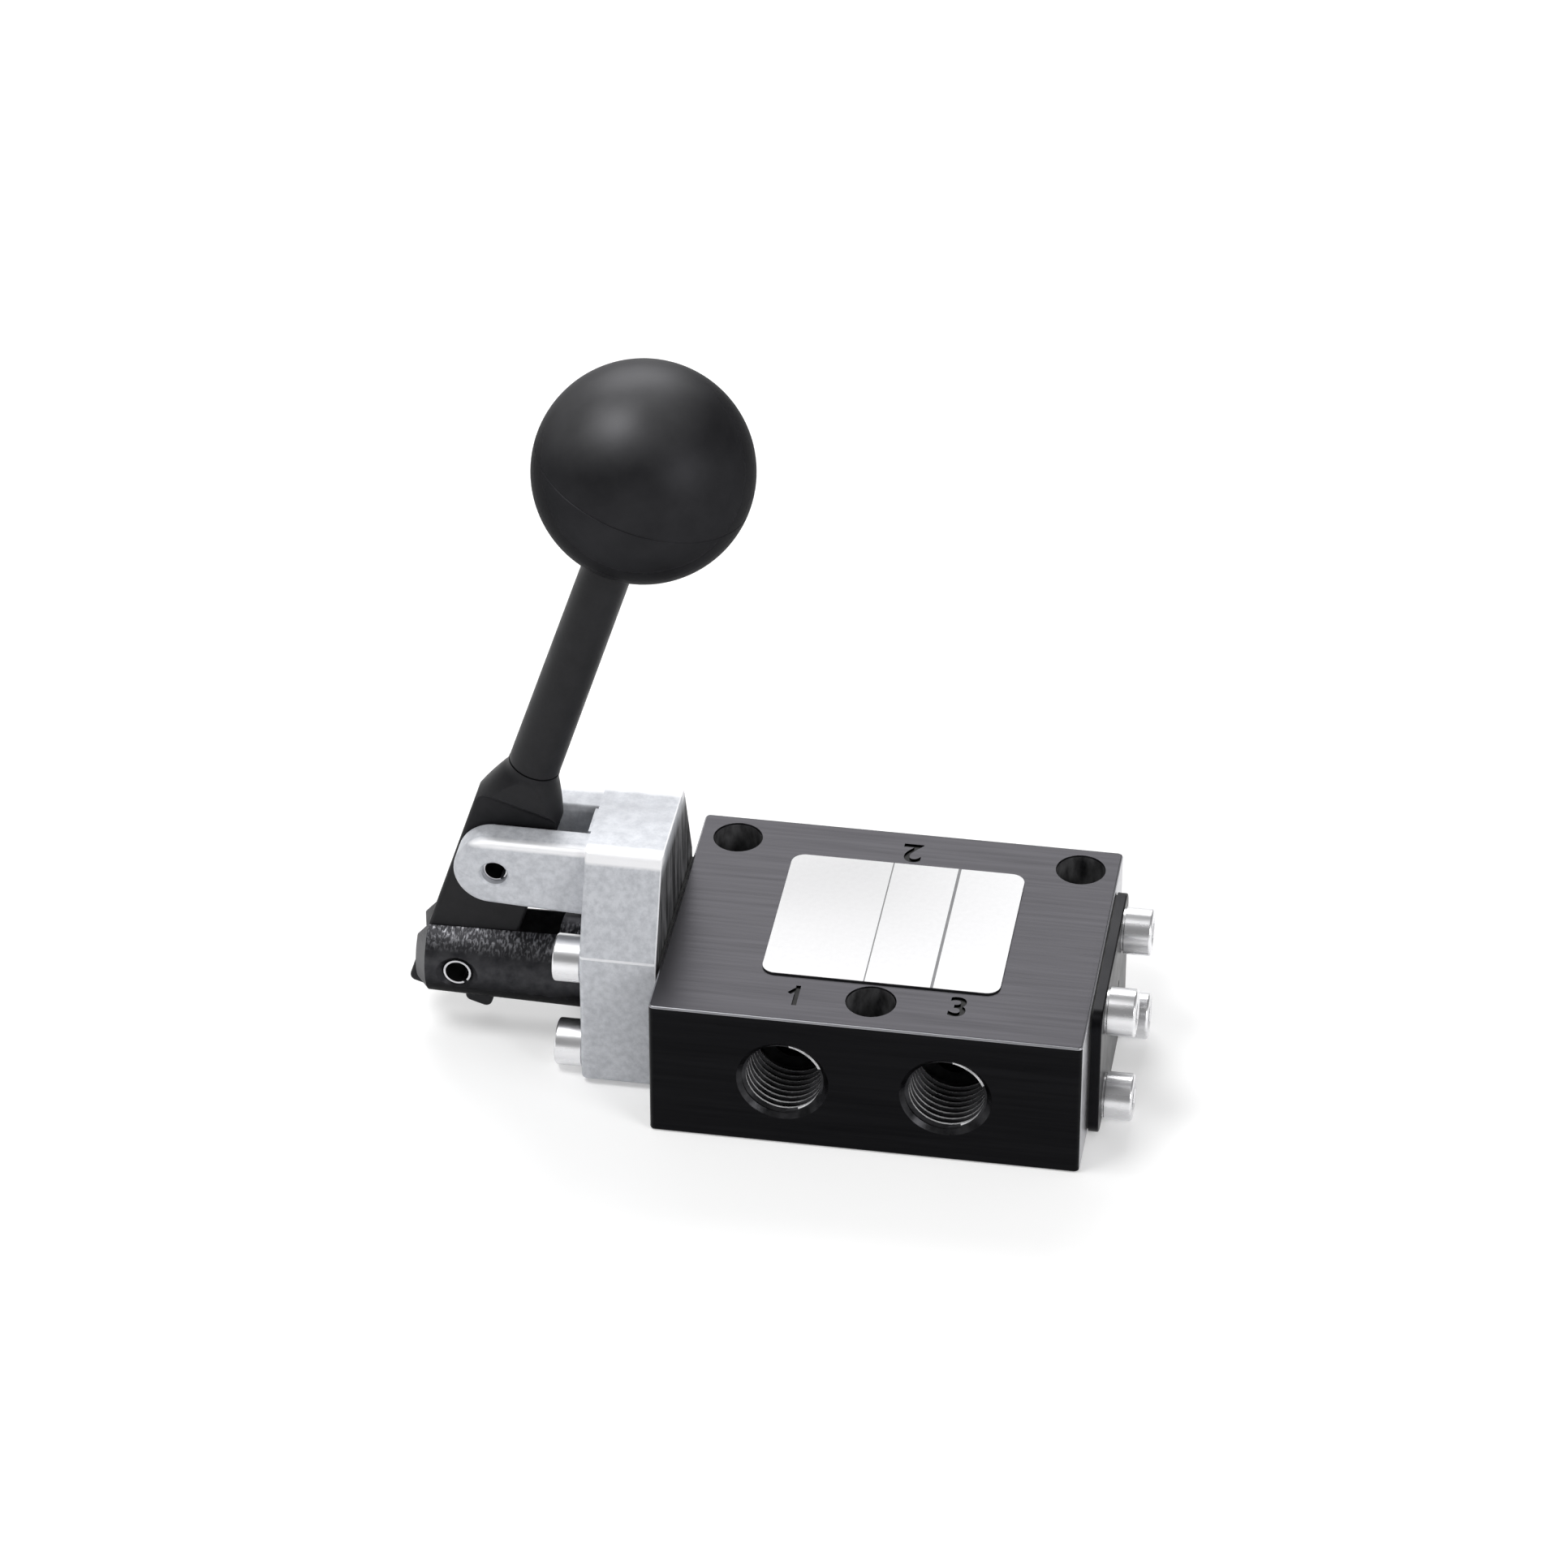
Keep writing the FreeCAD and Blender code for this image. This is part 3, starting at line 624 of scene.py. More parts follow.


# Blasted casting: mottle and pits, painted highlights along the ridge, shoulders and back edge, and painted shade
# with streaks on the back face
def makeCastAlloy():
    look = {
        "dark": (0.48, 0.495, 0.53), "light": (0.62, 0.635, 0.67), "mottle": 800, "mottleRange": (0.36, 0.62),
        "rough": (0.46, 0.6), "bump": 0.25, "depth": 0.1 * mm,
        "pits": 520, "pitRange": (0.05, 0.14), "pitBump": 0.2, "pitDepth": 0.08 * mm,
        "line": (0.95, 0.95, 0.97), "lineShare": 0.6, "ridgeReach": 0.22 * mm,
        "rimDepth": 0.16 * mm, "rimReach": 0.11 * mm,
        "shoulderSide": (7.4 * mm, 8.8 * mm), "shoulderDrop": (2 * mm, 1.4 * mm),
        "back": (0.018, 0.018, 0.02), "backDepth": 0.05 * mm, "backFade": (0.4 * mm, 4 * mm),
        "streak": (0.26, 0.26, 0.27), "streaks": 700, "streakRange": (0.42, 0.75), "stretch": (1, 1, 0.12),
    }
    material, tree, shader = newMaterial("castAlloy")
    place = surfacePlace(tree)
    setGloss(shader, 0.3)
    cloud = noise(tree, place, look["mottle"], 6, 0.65)
    colour = ramp(tree, cloud, look["dark"], look["light"], *look["mottleRange"])
    axes = splitPlace(tree)
    # Painted highlights: near-white lines along the ridge and the back edge
    ridge = mathNode(tree, "COMPARE", axes["Z"], bracket["ridge"], look["ridgeReach"])
    rim = mathNode(tree, "COMPARE", axes["X"], bracketHigh.x - look["rimDepth"], look["rimReach"])
    lines = mathNode(tree, "MULTIPLY", mathNode(tree, "MAXIMUM", ridge, rim), look["lineShare"])
    colour = mixColours(tree, lines, colour, look["line"])
    # Painted highlight along the ears' top outer shoulders
    outer = mapRange(tree, mathNode(tree, "ABSOLUTE", axes["Y"]), *look["shoulderSide"])
    raised = mapRange(tree, axes["Z"], *(bracketHigh.z - drop for drop in look["shoulderDrop"]))
    colour = mixColours(tree, mathNode(tree, "MULTIPLY", outer, raised), colour, look["line"])
    # Painted shade: the back face is painted near black with streaks, darkest more than 4 mm below its top
    back = mathNode(tree, "GREATER_THAN", axes["X"], bracketHigh.x - look["backDepth"])
    streaks = noise(tree, surfacePlace(tree, look["stretch"]), look["streaks"], 4, 0.6)
    backColour = ramp(tree, streaks, look["back"], look["streak"], *look["streakRange"])
    fade = mapRange(tree, axes["Z"], *(bracketHigh.z - drop for drop in look["backFade"]))
    colour = mixColours(tree, mathNode(tree, "MULTIPLY", back, fade), colour, backColour)
    link(tree, colour, shader.inputs["Base Color"])
    broad = noise(tree, place, look["mottle"] / 2, 4)
    link(tree, spread(tree, broad, *look["rough"]), shader.inputs["Roughness"])
    bump(tree, shader, noise(tree, place, look["mottle"], 5, 0.7), look["bump"], look["depth"])
    pits = addNode(tree, "TexVoronoi", {"Scale": look["pits"]})
    link(tree, place, pits.inputs["Vector"])
    pitMask = ramp(tree, pits.outputs["Distance"], (0, 0, 0), (1, 1, 1), *look["pitRange"])
    bump(tree, shader, pitMask, look["pitBump"], look["pitDepth"])
    return material


def makeBracketBase():
    low, high, ridge = bracketLow.z, bracketHigh.z, bracket["ridge"]
    base = addBox("leverBracket", (bracketOuter, bracketLow.y, low), (bracketHigh.x, bracketHigh.y, ridge))
    pickFaces(base, lambda centre, normal: normal.z > 0.9)
    bpy.ops.mesh.extrude_region_move(TRANSFORM_OT_translate={"value": (0, 0, high - ridge)})
    bpy.ops.transform.resize(value=(1, bracket["topHalf"] / bracketHigh.y, 1))
    leaveEdit()
    bevelEdges(base, bracket["lowCorner"], 5, lambda a, b: max(a.z, b.z) < low + mm and sameLevel(a.y, b.y))
    bevelEdges(base, bracket["rim"], 5,
               lambda a, b: max(a.x, b.x) < bracketOuter + 0.1 * mm and not bothAt(a, b, "z", high))
    for level, width in ((high, bracket["topEdge"]), (ridge, bracket["ridgeEdge"])):
        bevelEdges(base, width, 4, lambda a, b: abs(a.z - level) < mm and abs(b.z - level) < mm
                   and sameLevel(a.y, b.y) and abs(a.x - b.x) > 5 * mm)
    bevelEdges(base, bracket["backEdge"], 2, lambda a, b: bothAt(a, b, "x", bracketHigh.x))
    return base


# The nose is rounded first, then the ear's lower side is sloped down to its root
def makeEar(side):
    top = bracketHigh.z - bracket["earDrop"]
    low = top - bracket["earHeight"]
    near, far = sorted((side * bracket["earInner"], side * (bracket["earInner"] + bracket["earThickness"])))
    ear = addBox("ear", (bracketLow.x, near, low), (bracketOuter + bracket["root"], far, top))
    bevelEdges(ear, (top - low) / 2 - sliver, 16,
               lambda a, b: bothAt(a, b, "x", bracketLow.x) and sameLevel(a.z, b.z))
    pickPoints(ear, lambda point: point.x > bracketOuter and point.z < low + mm)
    bpy.ops.transform.translate(value=(0, 0, -bracket["earDraft"]))
    leaveEdit()
    bevelEdges(ear, bracket["earRim"], 5, lambda a, b: sameLevel(a.y, b.y))
    return ear


def makeWeb():
    top = bracketHigh.z - bracket["earDrop"]
    half = bracket["earInner"] + 0.1 * mm
    return addBox("web", (bracketOuter - bracket["web"], -half, top - bracket["earHeight"]),
                  (bracketOuter + bracket["root"], half, top))


def cutBracketHoles(piece):
    face = bracketHigh.x
    bushEnd = face - bracket["bushDepth"]
    drillHole(piece, "bushBore", bushEnd, face + mm, bracket["bushBore"], spoolLine, "X")
    drillHole(piece, "stemHole", bracketOuter - 2 * mm, bushEnd + mm, bracket["stemHole"], spoolLine, "X")
    end = bracket["earInner"] + bracket["earThickness"]
    hole, mouth = bracket["pinHole"], bracket["pinMouth"]
    wide = hole + mouth + mm
    profile = [(-end - mm, wide), (mouth - end, hole), (end - mouth, hole), (end + mm, wide)]
    join(piece, turnPiece("pinHole", profile, (pivot.x, 0, pivot.z), "Y", 64))
    for y, z in screwPlaces():
        drillHole(piece, "screwHole", bracketOuter - mm, face + mm, bracket["screwHole"], (0, y, z), "X", 48)


def makeBracket():
    piece = makeBracketBase()
    for side in (-1, 1):
        join(piece, makeEar(side), "UNION")
    join(piece, makeWeb(), "UNION")
    cutBracketHoles(piece)
    finishPiece(piece, "root", makeCastAlloy(), ["lever_bracket"])


# Cap screws: one is modelled for the bracket and one for the end plate, and four copies are made of each
screw = {
    "head": 4.0 * mm, "headHeight": 5.0 * mm, "crown": 0.45 * mm, "seat": 3.65 * mm, "seatHeight": 0.35 * mm,
    "seatStep": 0.1 * mm, "shank": 2.4 * mm, "bite": 9.5 * mm, "point": 0.4 * mm,
    "flats": 3.97 * mm, "socketDepth": 2.4 * mm, "socketMouth": 0.2 * mm, "socketFlare": 1.2 * mm,
    "drillPoint": 0.7 * mm, "drillTip": 0.3 * mm, "drillShare": 0.8,
}


def makeScrewSteel():
    look = {
        "metal": 1, "dark": (0.7, 0.7, 0.715), "light": (0.85, 0.85, 0.865), "stretch": (0.15, 1, 1),
        "cloud": 300, "grain": 1500, "rough": (0.24, 0.32), "bump": 0.05, "depth": 0.03 * mm,
    }
    return plainFinish("screwSteel", look)


def arcSteps(height, radius, size, steps=5):
    turns = [math.pi / 2 * step / steps for step in range(1, steps + 1)]
    return [(height + size * math.sin(turn), radius - size * (1 - math.cos(turn))) for turn in turns]


def makeScrew(grip):
    head, height, crown = screw["head"], screw["headHeight"], screw["crown"]
    seat, seatHeight, step = screw["seat"], screw["seatHeight"], screw["seatStep"]
    shank, point = screw["shank"], screw["point"]
    tip = -grip - screw["bite"]
    profile = [(tip, shank - point), (tip + point, shank), (0, shank), (0, seat), (seatHeight, seat),
               (seatHeight, head - step), (seatHeight + step, head), (height - crown, head)]
    profile += arcSteps(height - crown, head, crown)
    piece = turnPiece("capScrew", profile, sides=72)
    corner = screw["flats"] / math.sqrt(3)
    floor, mouth = height - screw["socketDepth"], height - screw["socketMouth"]
    socket = [(floor - screw["drillPoint"], screw["drillTip"]), (floor, corner * screw["drillShare"]),
              (floor, corner), (mouth, corner), (height + mm, corner + screw["socketFlare"])]
    join(piece, turnPiece("socket", socket, sides=6))
    return piece


def placeScrews(name, grip, x, turn, material, node):
    model = makeScrew(grip)
    for count, (y, z) in enumerate(screwPlaces(), start=1):
        piece = copyPiece(model, f"{name}{count}")
        piece.rotation_euler = (0, turn, 0)
        piece.location = (x, y, z)
        finishPiece(settle(piece), "root", material, [node])
    removePiece(model)


def makeScrews():
    steel, quarter = makeScrewSteel(), math.pi / 2
    placeScrews("bracketScrew", -blockHigh.x - bracketOuter, bracketOuter, -quarter, steel, "bracket_screws")
    placeScrews("plateScrew", plateHigh.x - blockHigh.x, plateHigh.x, quarter, steel, "end_plate_screws")


# End plate, with a small vent for the air behind the spool
plate = {
    "corner": 3 * mm, "rim": 0.3 * mm, "screwHole": 2.65 * mm,
    "vent": 0.6 * mm, "ventY": 6.7 * mm, "ventRise": 0.9 * mm,
}


def makePlateBlack():
    look = {
        "metal": 0.95, "dark": (0.006, 0.006, 0.007), "light": (0.01, 0.01, 0.0115),
        "cloud": 150, "grain": 1000, "rough": (0.32, 0.42), "bump": 0.1, "depth": 0.05 * mm,
    }
    return plainFinish("plateBlack", look)


def makeEndPlate():
    piece = addBox("endPlate", plateLow, plateHigh)
    bevelEdges(piece, plate["corner"], 10, lambda a, b: not sameLevel(a.x, b.x))
    bevelEdges(piece, plate["rim"], 3, lambda a, b: bothAt(a, b, "x", plateHigh.x))
    start, end = plateLow.x - mm, plateHigh.x + mm
    for y, z in screwPlaces():
        drillHole(piece, "hole", start, end, plate["screwHole"], (0, y, z), "X", 48)
    vent = (0, plate["ventY"], spoolHeight + plate["ventRise"])
    drillHole(piece, "vent", start, end, plate["vent"], vent, "X", 32)
    finishPiece(piece, "root", makePlateBlack(), ["end_plate"])


# Slotted stem, thickest at its shoulder
stem = {
    "tip": 7.45 * mm, "chamfer": 1.9 * mm, "shank": 7.15 * mm,
    "shoulderRoom": 0.35 * mm, "shoulderEdge": 0.3 * mm, "spigot": 3 * mm, "spigotLength": 10 * mm,
    "slotWidth": 6.5 * mm, "slotLength": 24.2 * mm, "pinHole": 2.38 * mm, "pinMouth": 0.6 * mm,
}


# Smooth, with painted shade below, pale flecks painted as a highlight along the upper side nearest the camera, and
# a painted highlight on the turned nose
def makeStemBlack():
    look = {
        "metal": 0.6, "gloss": 0.05, "edge": 0.15, "cloud": 500,
        "dark": (0.026, 0.026, 0.029), "light": (0.056, 0.056, 0.06),
        "fleck": (0.3, 0.3, 0.32), "speckle": 2700, "stretch": (1, 0.35, 0.5), "fleckRange": (0.46, 0.66),
        "fleckRise": (3.6 * mm, 6 * mm), "fleckSide": (0, -3 * mm),
        "under": (0.01, 0.01, 0.011), "underDrop": 5 * mm, "nose": (0.2, 0.2, 0.205),
        "rough": (0.44, 0.34), "bump": 0.6, "depth": 0.15 * mm,
    }
    material, tree, shader = newMaterial("stemBlack")
    setGloss(shader, look["metal"], look["gloss"], look["edge"])
    place = surfacePlace(tree)
    skin = ramp(tree, noise(tree, place, look["cloud"]), look["dark"], look["light"])
    speckle = noise(tree, surfacePlace(tree, look["stretch"]), look["speckle"], 2, 0.5)
    axes = splitPlace(tree)
    # Painted shade: darker towards the underside
    under = mapRange(tree, axes["Z"], spoolHeight, spoolHeight - look["underDrop"])
    skin = mixColours(tree, under, skin, look["under"])
    # Painted highlight: pale flecks of the speckle show only on the upper side towards -Y, where the light falls
    upper = mapRange(tree, axes["Z"], *(spoolHeight + rise for rise in look["fleckRise"]))
    near = mapRange(tree, axes["Y"], *look["fleckSide"])
    share = mathNode(tree, "MULTIPLY", upper, mapRange(tree, speckle, *look["fleckRange"]))
    share = mathNode(tree, "MULTIPLY", share, near)
    colour = mixColours(tree, share, skin, look["fleck"])
    # Painted highlight on the nose chamfer
    nose = mathNode(tree, "LESS_THAN", axes["X"], stemLow.x + stem["chamfer"])
    link(tree, mixColours(tree, nose, colour, look["nose"]), shader.inputs["Base Color"])
    link(tree, spread(tree, speckle, *look["rough"]), shader.inputs["Roughness"])
    bump(tree, shader, share, look["bump"], look["depth"])
    return material


# The hole for the cross pin, its mouths widened where they meet the stem's tapering side
def cutCrossHole(piece, noseEnd, shoulder, radius):
    pinLow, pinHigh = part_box("stem_pin")
    pinX = (pinLow.x + pinHigh.x) / 2
    share = (pinX - noseEnd) / (shoulder - noseEnd)
    local = stem["tip"] + share * (radius - stem["tip"])
    hole, mouth = stem["pinHole"], stem["pinMouth"]
    rim = math.sqrt(local ** 2 - (hole + mouth) ** 2) - mouth
    wide = hole + radius + mm - rim
    profile = [(-radius - mm, wide), (-rim, hole), (rim, hole), (radius + mm, wide)]
    join(piece, turnPiece("crossHole", profile, (pinX, 0, spoolHeight), "Y", 64))


# The shoulder stops short of the wiper when the lever is over
def makeStem():
    radius = stemHigh.z - spoolHeight
    travel = (pivot.z - spoolHeight) * math.tan(leverLean)
    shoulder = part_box("stem_wiper")[0].x - travel - stem["shoulderRoom"]
    noseEnd = stemLow.x + stem["chamfer"]
    spigotStart = stemHigh.x - stem["spigotLength"]
    edge = stem["shoulderEdge"]
    profile = [(stemLow.x, stem["tip"] - stem["chamfer"]), (noseEnd, stem["tip"]), (shoulder - edge, radius),
               (shoulder, radius - edge), (shoulder, stem["shank"]), (spigotStart, stem["shank"]),
               (spigotStart, stem["spigot"]), (stemHigh.x, stem["spigot"])]
    piece = turnPiece("spoolStem", profile, spoolLine, "X", 128)
    half = stem["slotWidth"] / 2
    slotLow = (stemLow.x - mm, -half, spoolHeight - radius - mm)
    slotHigh = (stemLow.x + stem["slotLength"], half, spoolHeight + radius + mm)
    join(piece, addBox("slot", slotLow, slotHigh))
    cutCrossHole(piece, noseEnd, shoulder, radius)
    finishPiece(piece, "spool_group", makeStemBlack(), ["spool_stem"])


# Rolled pins with a slit, dark inside
pin = {
    "wall": 0.42 * mm, "wallBand": 0.05 * mm, "slit": 0.6 * mm, "slitTurn": math.radians(35),
    "edge": 0.12 * mm, "steps": 56,
}


def makePinSteel():
    look = {
        "metal": 1, "dark": (0.45, 0.45, 0.47), "light": (0.7, 0.7, 0.72),
        "cloud": 700, "grain": 1500, "rough": (0.25, 0.4), "bump": 0.1, "depth": 0.05 * mm,
    }
    return plainFinish("pinSteel", look)


def makePinShade():
    look = {
        "metal": 0.8, "dark": (0.004, 0.004, 0.004), "light": (0.012, 0.012, 0.013),
        "cloud": 500, "grain": 1600, "rough": (0.5, 0.65), "bump": 0.2, "depth": 0.05 * mm,
    }
    return plainFinish("pinShade", look)


def makePin(name, node, body, steel, shade):
    low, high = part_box(node)
    middle = (low + high) / 2
    radius, half, wall = high.z - middle.z, high.y - middle.y, pin["wall"]
    clearSelection()
    bpy.ops.mesh.primitive_plane_add(size=1, location=(radius - wall / 2, 0, 0))
    piece = bpy.context.object
    piece.name = name
    piece.scale = (wall, 2 * half, 1)
    editMesh(settle(piece))
    gap = pin["slit"] / (radius - wall / 2)
    bpy.ops.mesh.spin(steps=pin["steps"], angle=2 * math.pi - gap, center=(0, 0, 0), axis=(0, 1, 0))
    leaveEdit()
    weld(piece)
    bevelEdges(piece, pin["edge"], 2, lambda a, b: True)
    piece.rotation_euler.y = pin["slitTurn"] + gap / 2
    piece.location = middle
    finishPiece(settle(piece), body, steel, [node])
    piece.data.materials.append(shade)
    for face in piece.data.polygons:
        fromMiddle = math.hypot(face.center.x - middle.x, face.center.z - middle.z)
        if fromMiddle < radius - wall + pin["wallBand"] and abs(face.normal.y) < 0.5:
            face.material_index = 1


def makePins():
    steel, shade = makePinSteel(), makePinShade()
    makePin("pivotPin", "pivot_pin", "root", steel, shade)
    makePin("stemPin", "stem_pin", "spool_group", steel, shade)


# Lever arm: the lever's pieces are drawn upright about the pivot, then leaned over
arm = {
    "halfWidth": 7.3 * mm, "thin": 3.05 * mm, "thick": 4.6 * mm, "reach": 31.8 * mm,
    "taperStart": 9.4 * mm, "taperEnd": 11.6 * mm, "taperSteps": 8,
    "top": 17.3 * mm, "topRadius": 4.4 * mm, "collar": 1 * mm,
    "roundStart": 7.4 * mm, "roundSteps": 12, "bulge": 0.25 * mm, "bushHole": 3.3 * mm,
    "slotHalf": 2.63 * mm, "slotTop": -20.8 * mm, "prongCorner": 1.1 * mm, "edge": 0.6 * mm,
}


def makeLeverBlack():
    look = {
        "metal": 0.2, "dark": (0.009, 0.009, 0.0105), "light": (0.018, 0.018, 0.02), "gloss": 0.22,
        "cloud": 220, "grain": 1300, "rough": (0.42, 0.58), "bump": 0.2, "depth": 0.1 * mm,
    }
    return plainFinish("leverBlack", look)


def leanPiece(piece):
    piece.rotation_euler = (0, leverLean, 0)
    piece.location = pivot
    return settle(piece)


# The flat arm thickens towards its hub in a smooth curve
def makeArmBlank():
    half, thin, top = arm["halfWidth"], arm["thin"], arm["top"]
    start, end, steps = arm["taperStart"], arm["taperEnd"], arm["taperSteps"]
    blank = addBox("leverArm", (-half, -thin, -arm["reach"]), (half, thin, start))
    pickFaces(blank, lambda centre, normal: normal.z > 0.9)
    thickness = thin
    for step in range(1, steps + 1):
        share = step / steps
        thicker = thin + (arm["thick"] - thin) * share * share * (3 - 2 * share)
        bpy.ops.mesh.extrude_region_move(TRANSFORM_OT_translate={"value": (0, 0, (end - start) / steps)})
        bpy.ops.transform.resize(value=(1, thicker / thickness, 1))
        thickness = thicker
    bpy.ops.mesh.extrude_region_move(TRANSFORM_OT_translate={"value": (0, 0, top - end)})
    leaveEdit()
    return blank


def cutFork(piece):
    slot, thin, tip = arm["slotHalf"], arm["thin"], -arm["reach"]
    cutter = addBox("forkSlot", (-slot, -thin - mm, tip - 2 * mm), (slot, thin + mm, arm["slotTop"] + slot))
    bevelEdges(cutter, slot - sliver, 12,
               lambda a, b: a.z > arm["slotTop"] and sameLevel(a.x, b.x) and sameLevel(a.z, b.z))
    join(piece, cutter)
    bevelEdges(piece, arm["prongCorner"], 8, lambda a, b: max(a.z, b.z) < tip + mm and sameLevel(a.x, b.x))


# A turned shape about the lever's axis rounds the hub off
def roundHub(piece):
    root, neck = math.hypot(arm["halfWidth"], arm["thin"]), arm["topRadius"]
    low, collar, steps = arm["roundStart"], arm["top"] - arm["collar"], arm["roundSteps"]
    profile = [(-arm["reach"] - mm, root), (low, root)]
    for step in range(1, steps):
        share = step / steps
        swell = arm["bulge"] * 4 * share * (1 - share)
        profile.append((low + (collar - low) * share, root + (neck - root) * share + swell))
    profile += [(collar, neck), (arm["top"] + mm, neck)]
    join(piece, turnPiece("hubRound", profile), "INTERSECT")


def makeArm(black):
    thin, start = arm["thin"], arm["taperStart"]
    piece = makeArmBlank()
    cutFork(piece)
    bevelEdges(piece, arm["edge"], 4, lambda a, b: a.y * b.y > 0 and min(a.z, b.z) < start - mm)
    drillHole(piece, "bushHole", -thin - mm, thin + mm, arm["bushHole"], axis="Y", sides=64)
    roundHub(piece)
    finishPiece(leanPiece(piece), "lever", black, ["lever_arm"], 62)


# Ball knob, with a mould seam and a flat where the rod goes in
knob = {
    "radius": 18 * mm, "height": 78.85 * mm, "flat": 6.3 * mm, "hole": 4.9 * mm, "holeDepth": 14 * mm,
    "seamWidth": 0.3 * mm, "seamDepth": 0.12 * mm, "rings": 60, "pole": 0.02 * mm,
}
knobFlat = knob["height"] - math.sqrt(knob["radius"] ** 2 - knob["flat"] ** 2)


# A painted highlight on its upper side, reaching lower down on its -X side
def makeKnobBlack():
    look = {
        "metal": 0.6, "gloss": 0.03, "edge": 0.3, "cloud": 160, "grain": 1500,
        "dark": (0.022, 0.022, 0.024), "light": (0.03, 0.03, 0.0325),
        "pale": (0.1, 0.1, 0.104), "paleShare": (0.8, 1.0), "paleStart": 0.45, "lean": -0.25,
        "rough": (0.44, 0.5), "bump": 0.12, "depth": 0.08 * mm,
    }
    material, tree, shader = newMaterial("knobBlack")
    setGloss(shader, look["metal"], look["gloss"], look["edge"])
    place = surfacePlace(tree)
    cloud = noise(tree, place, look["cloud"], 5)
    skin = ramp(tree, cloud, look["dark"], look["light"])
    low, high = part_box("ball_knob")
    radius = (high.x - low.x) / 2
    middle = (low.z + high.z) / 2 + look["lean"] * (low.x + high.x) / 2
    axes = splitPlace(tree)
    # Painted highlight: the base is made paler over the upper side of the ball
    height = mathNode(tree, "MULTIPLY_ADD", axes["X"], look["lean"], axes["Z"])
    upper = mapRange(tree, height, middle + look["paleStart"] * radius, middle + radius,
                     interpolation_type="SMOOTHSTEP")
    share = mathNode(tree, "MULTIPLY", upper, spread(tree, cloud, *look["paleShare"]))
    link(tree, mixColours(tree, share, skin, look["pale"]), shader.inputs["Base Color"])
    link(tree, spread(tree, cloud, *look["rough"]), shader.inputs["Roughness"])
    bump(tree, shader, noise(tree, place, look["grain"], 3, 0.6), look["bump"], look["depth"])
    return material


def makeKnob():
    radius, middle, rings = knob["radius"], knob["height"], knob["rings"]
    start = math.asin(knob["flat"] / radius)
    half, depth = knob["seamWidth"] / 2, knob["seamDepth"]
    profile = []
    for ring in range(rings):
        turn = start + (math.pi - start) * ring / rings
        height = middle - radius * math.cos(turn)
        if abs(height - middle) > 2 * half:
            profile.append((height, radius * math.sin(turn)))
    seam = [(middle - half, radius), (middle - half / 3, radius - depth), (middle + half / 3, radius - depth),
            (middle + half, radius)]
    profile = sorted(profile + seam)
    profile.append((middle + radius, knob["pole"]))
    piece = turnPiece("ballKnob", profile, sides=128)
    drillHole(piece, "insertHole", knobFlat - mm, knobFlat + knob["holeDepth"], knob["hole"], sides=64)
    finishPiece(leanPiece(piece), "lever", makeKnobBlack(), ["ball_knob"], 40)


# Lever rod, from the hub to the ball
rod = {
    "groove": 0.3 * mm, "foot": 4.35 * mm, "radius": 4.15 * mm,
    "spigot": 2.2 * mm, "spigotLength": 6.5 * mm, "tipRoom": 1 * mm,
}


def makeRod(black):
    tip = knobFlat + knob["holeDepth"] - rod["tipRoom"]
    top, groove, spigot = arm["top"], rod["groove"], rod["spigot"]
    profile = [(top - rod["spigotLength"], spigot), (top, spigot), (top, rod["foot"] - groove),
               (top + groove, rod["foot"]), (knobFlat, rod["radius"]), (knobFlat, spigot), (tip, spigot)]
    piece = turnPiece("leverRod", profile)
    finishPiece(leanPiece(piece), "lever", black, ["lever_rod"])


def makeLever():
    black = makeLeverBlack()
    makeArm(black)
    makeRod(black)
    makeKnob()


# Finishes of the CAD nodes that stay in the scene
def makeRubber(name, grey):
    look = {
        "metal": 0, "dark": (grey, grey, grey), "light": (grey * 2, grey * 2, grey * 2),
        "cloud": 400, "grain": 1800, "rough": (0.55, 0.7), "bump": 0.15, "depth": 0.05 * mm,
    }
    return plainFinish(name, look)


def makeTurnedMetal(name, dark, light, rough=(0.2, 0.34)):
    look = {
        "metal": 1, "dark": dark, "light": light, "stretch": (2, 0.3, 0.3),
        "cloud": 250, "grain": 1400, "rough": rough, "bump": 0.1, "depth": 0.04 * mm,
    }
    return plainFinish(name, look)


def dressNodes():
    seals = ["stem_wiper"] + [name for name in frame["nodes"] if name.startswith("spool_seal")]
    finishes = {
        makeRubber("gasketRubber", 0.012): ["bracket_gasket", "end_gasket"],
        makeRubber("sealRubber", 0.008): seals,
        makeTurnedMetal("bushBronze", (0.5, 0.33, 0.16), (0.66, 0.47, 0.25)): ["guide_bush", "pivot_bush"],
        makeTurnedMetal("insertBrass", (0.58, 0.43, 0.18), (0.72, 0.56, 0.27)): ["knob_insert"],
        makeTurnedMetal("spoolAlloy", (0.6, 0.61, 0.62), (0.75, 0.76, 0.77)): ["spool"],
        makeTurnedMetal("springWire", (0.4, 0.4, 0.41), (0.56, 0.56, 0.57), (0.28, 0.4)): ["return_spring"],
        makeTurnedMetal("washerSteel", (0.5, 0.5, 0.51), (0.66, 0.66, 0.67)): ["stop_washer", "spring_seat"],
    }
    for material, names in finishes.items():
        for name in names:
            for slot in frame["nodes"][name].material_slots:
                slot.material = material


# Camera at the photograph's viewing angle
shot = {
    "azimuth": 9.35, "elevation": 34.75, "place": (0.11879, -0.82933, 0.63558),
    "lens": 143.46, "sensor": 36, "near": 0.05,
}


def makeCamera():
    clearSelection()
    turn = (math.radians(90 - shot["elevation"]), 0, math.radians(shot["azimuth"]))
    bpy.ops.object.camera_add(location=shot["place"], rotation=turn)
    camera = bpy.context.object
    camera.data.lens = shot["lens"]
    camera.data.sensor_width = shot["sensor"]
    camera.data.clip_start = shot["near"]
    bpy.context.scene.camera = camera


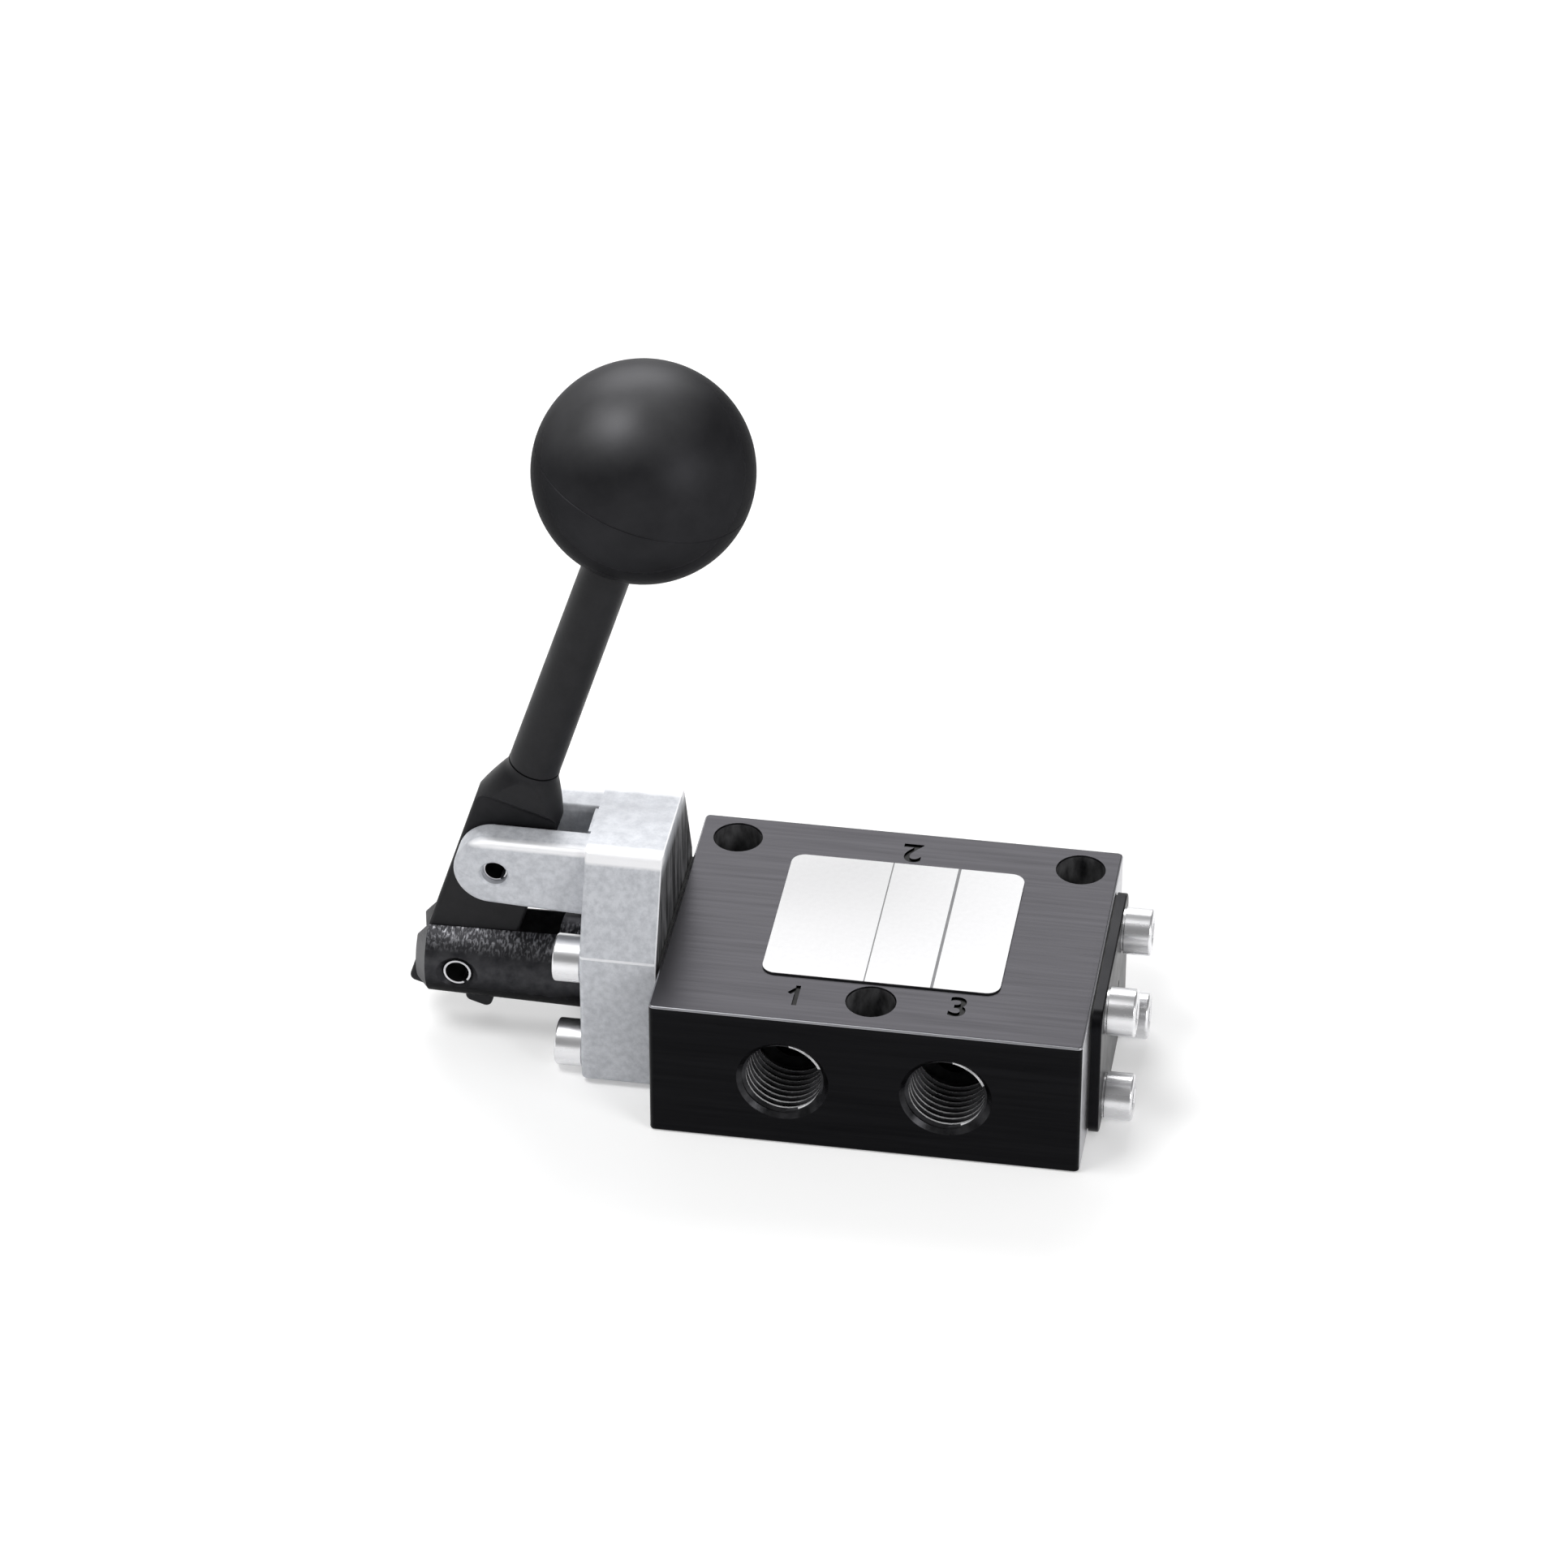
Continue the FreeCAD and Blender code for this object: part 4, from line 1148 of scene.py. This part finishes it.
# Soft boxes: each points at the valve's middle
lamps = {
    "backBox": {"place": (-0.25, 0.95, 0.80), "size": (0.9, 0.6), "power": 8.5},
    "topBox": {"place": (-0.48, -0.22, 1.15), "size": (0.5, 0.5), "power": 7},
    "rightBox": {"place": (0.85, -0.55, 0.6), "size": (0.45, 0.45), "power": 4.5},
}
lampAim = Vector((-0.015, 0, 0.04))


def makeLamps():
    for name, lamp in lamps.items():
        bpy.ops.object.light_add(type="AREA", location=lamp["place"])
        box = bpy.context.object
        box.name = name
        box.data.shape = "RECTANGLE"
        box.data.size, box.data.size_y = lamp["size"]
        box.data.energy = lamp["power"]
        box.rotation_euler = (lampAim - Vector(lamp["place"])).to_track_quat("-Z", "Y").to_euler()


# A dim room, with a pale band round the horizon that stands behind the object in low views
room = {"bandHeight": 0.12, "dimHeight": 0.24, "bandStrength": 1, "dimStrength": 0.28}


def makeWorld():
    world = bpy.context.scene.world or bpy.data.worlds.new("studio")
    bpy.context.scene.world = world
    world.use_nodes = True
    tree = world.node_tree
    tree.nodes.clear()
    place = addNode(tree, "TexCoord")
    split = addNode(tree, "SeparateXYZ")
    link(tree, place.outputs["Object"], split.inputs["Vector"])
    height = mathNode(tree, "ABSOLUTE", split.outputs["Z"])
    strength = mapRange(tree, height, room["bandHeight"], room["dimHeight"],
                        room["bandStrength"], room["dimStrength"])
    sky = addNode(tree, "Background", {"Color": (1, 1, 1, 1)})
    output = addNode(tree, "OutputWorld")
    link(tree, strength, sky.inputs["Strength"])
    link(tree, sky.outputs[0], output.inputs["Surface"])


# The paper glows a little for the camera and in reflections, so it is white but keeps the shadow
paper = {"size": 12, "drop": 0.1 * mm, "cuts": 3, "grey": 0.8, "rough": 0.9, "glow": 0.3}


def makeFloorPaper():
    material, tree, shader = newMaterial("floorPaper")
    shader.inputs["Base Color"].default_value = (paper["grey"], paper["grey"], paper["grey"], 1)
    shader.inputs["Roughness"].default_value = paper["rough"]
    shader.inputs["Specular IOR Level"].default_value = 0
    rays = addNode(tree, "LightPath").outputs
    glow = addNode(tree, "Emission", {"Color": (1, 1, 1, 1), "Strength": paper["glow"]})
    seen = mathNode(tree, "MAXIMUM", rays["Is Camera Ray"], rays["Is Glossy Ray"])
    seen = mathNode(tree, "MAXIMUM", seen, rays["Is Transmission Ray"])
    both = addNode(tree, "AddShader")
    mix = addNode(tree, "MixShader")
    link(tree, shader.outputs[0], both.inputs[0])
    link(tree, glow.outputs[0], both.inputs[1])
    link(tree, seen, mix.inputs["Fac"])
    link(tree, shader.outputs[0], mix.inputs[1])
    link(tree, both.outputs[0], mix.inputs[2])
    link(tree, mix.outputs[0], tree.nodes["Material Output"].inputs["Surface"])
    return material


def makeFloor():
    clearSelection()
    bpy.ops.mesh.primitive_plane_add(size=paper["size"], location=(0, 0, -paper["drop"]))
    floor = bpy.context.object
    floor.name = "studioFloor"
    editMesh(floor)
    bpy.ops.mesh.subdivide(number_cuts=paper["cuts"])
    leaveEdit()
    floor.data.materials.append(makeFloorPaper())
    settle(floor)


makeBlock()
makeLabel()
makeBracket()
makeScrews()
makeEndPlate()
print("body made")
makeStem()
makePins()
makeLever()
print("stem, pins and lever made")
dressNodes()
print("inner nodes dressed")
makeFloor()
makeWorld()
makeLamps()
makeCamera()
bpy.context.scene.view_settings.view_transform = "Standard"
print("studio ready")
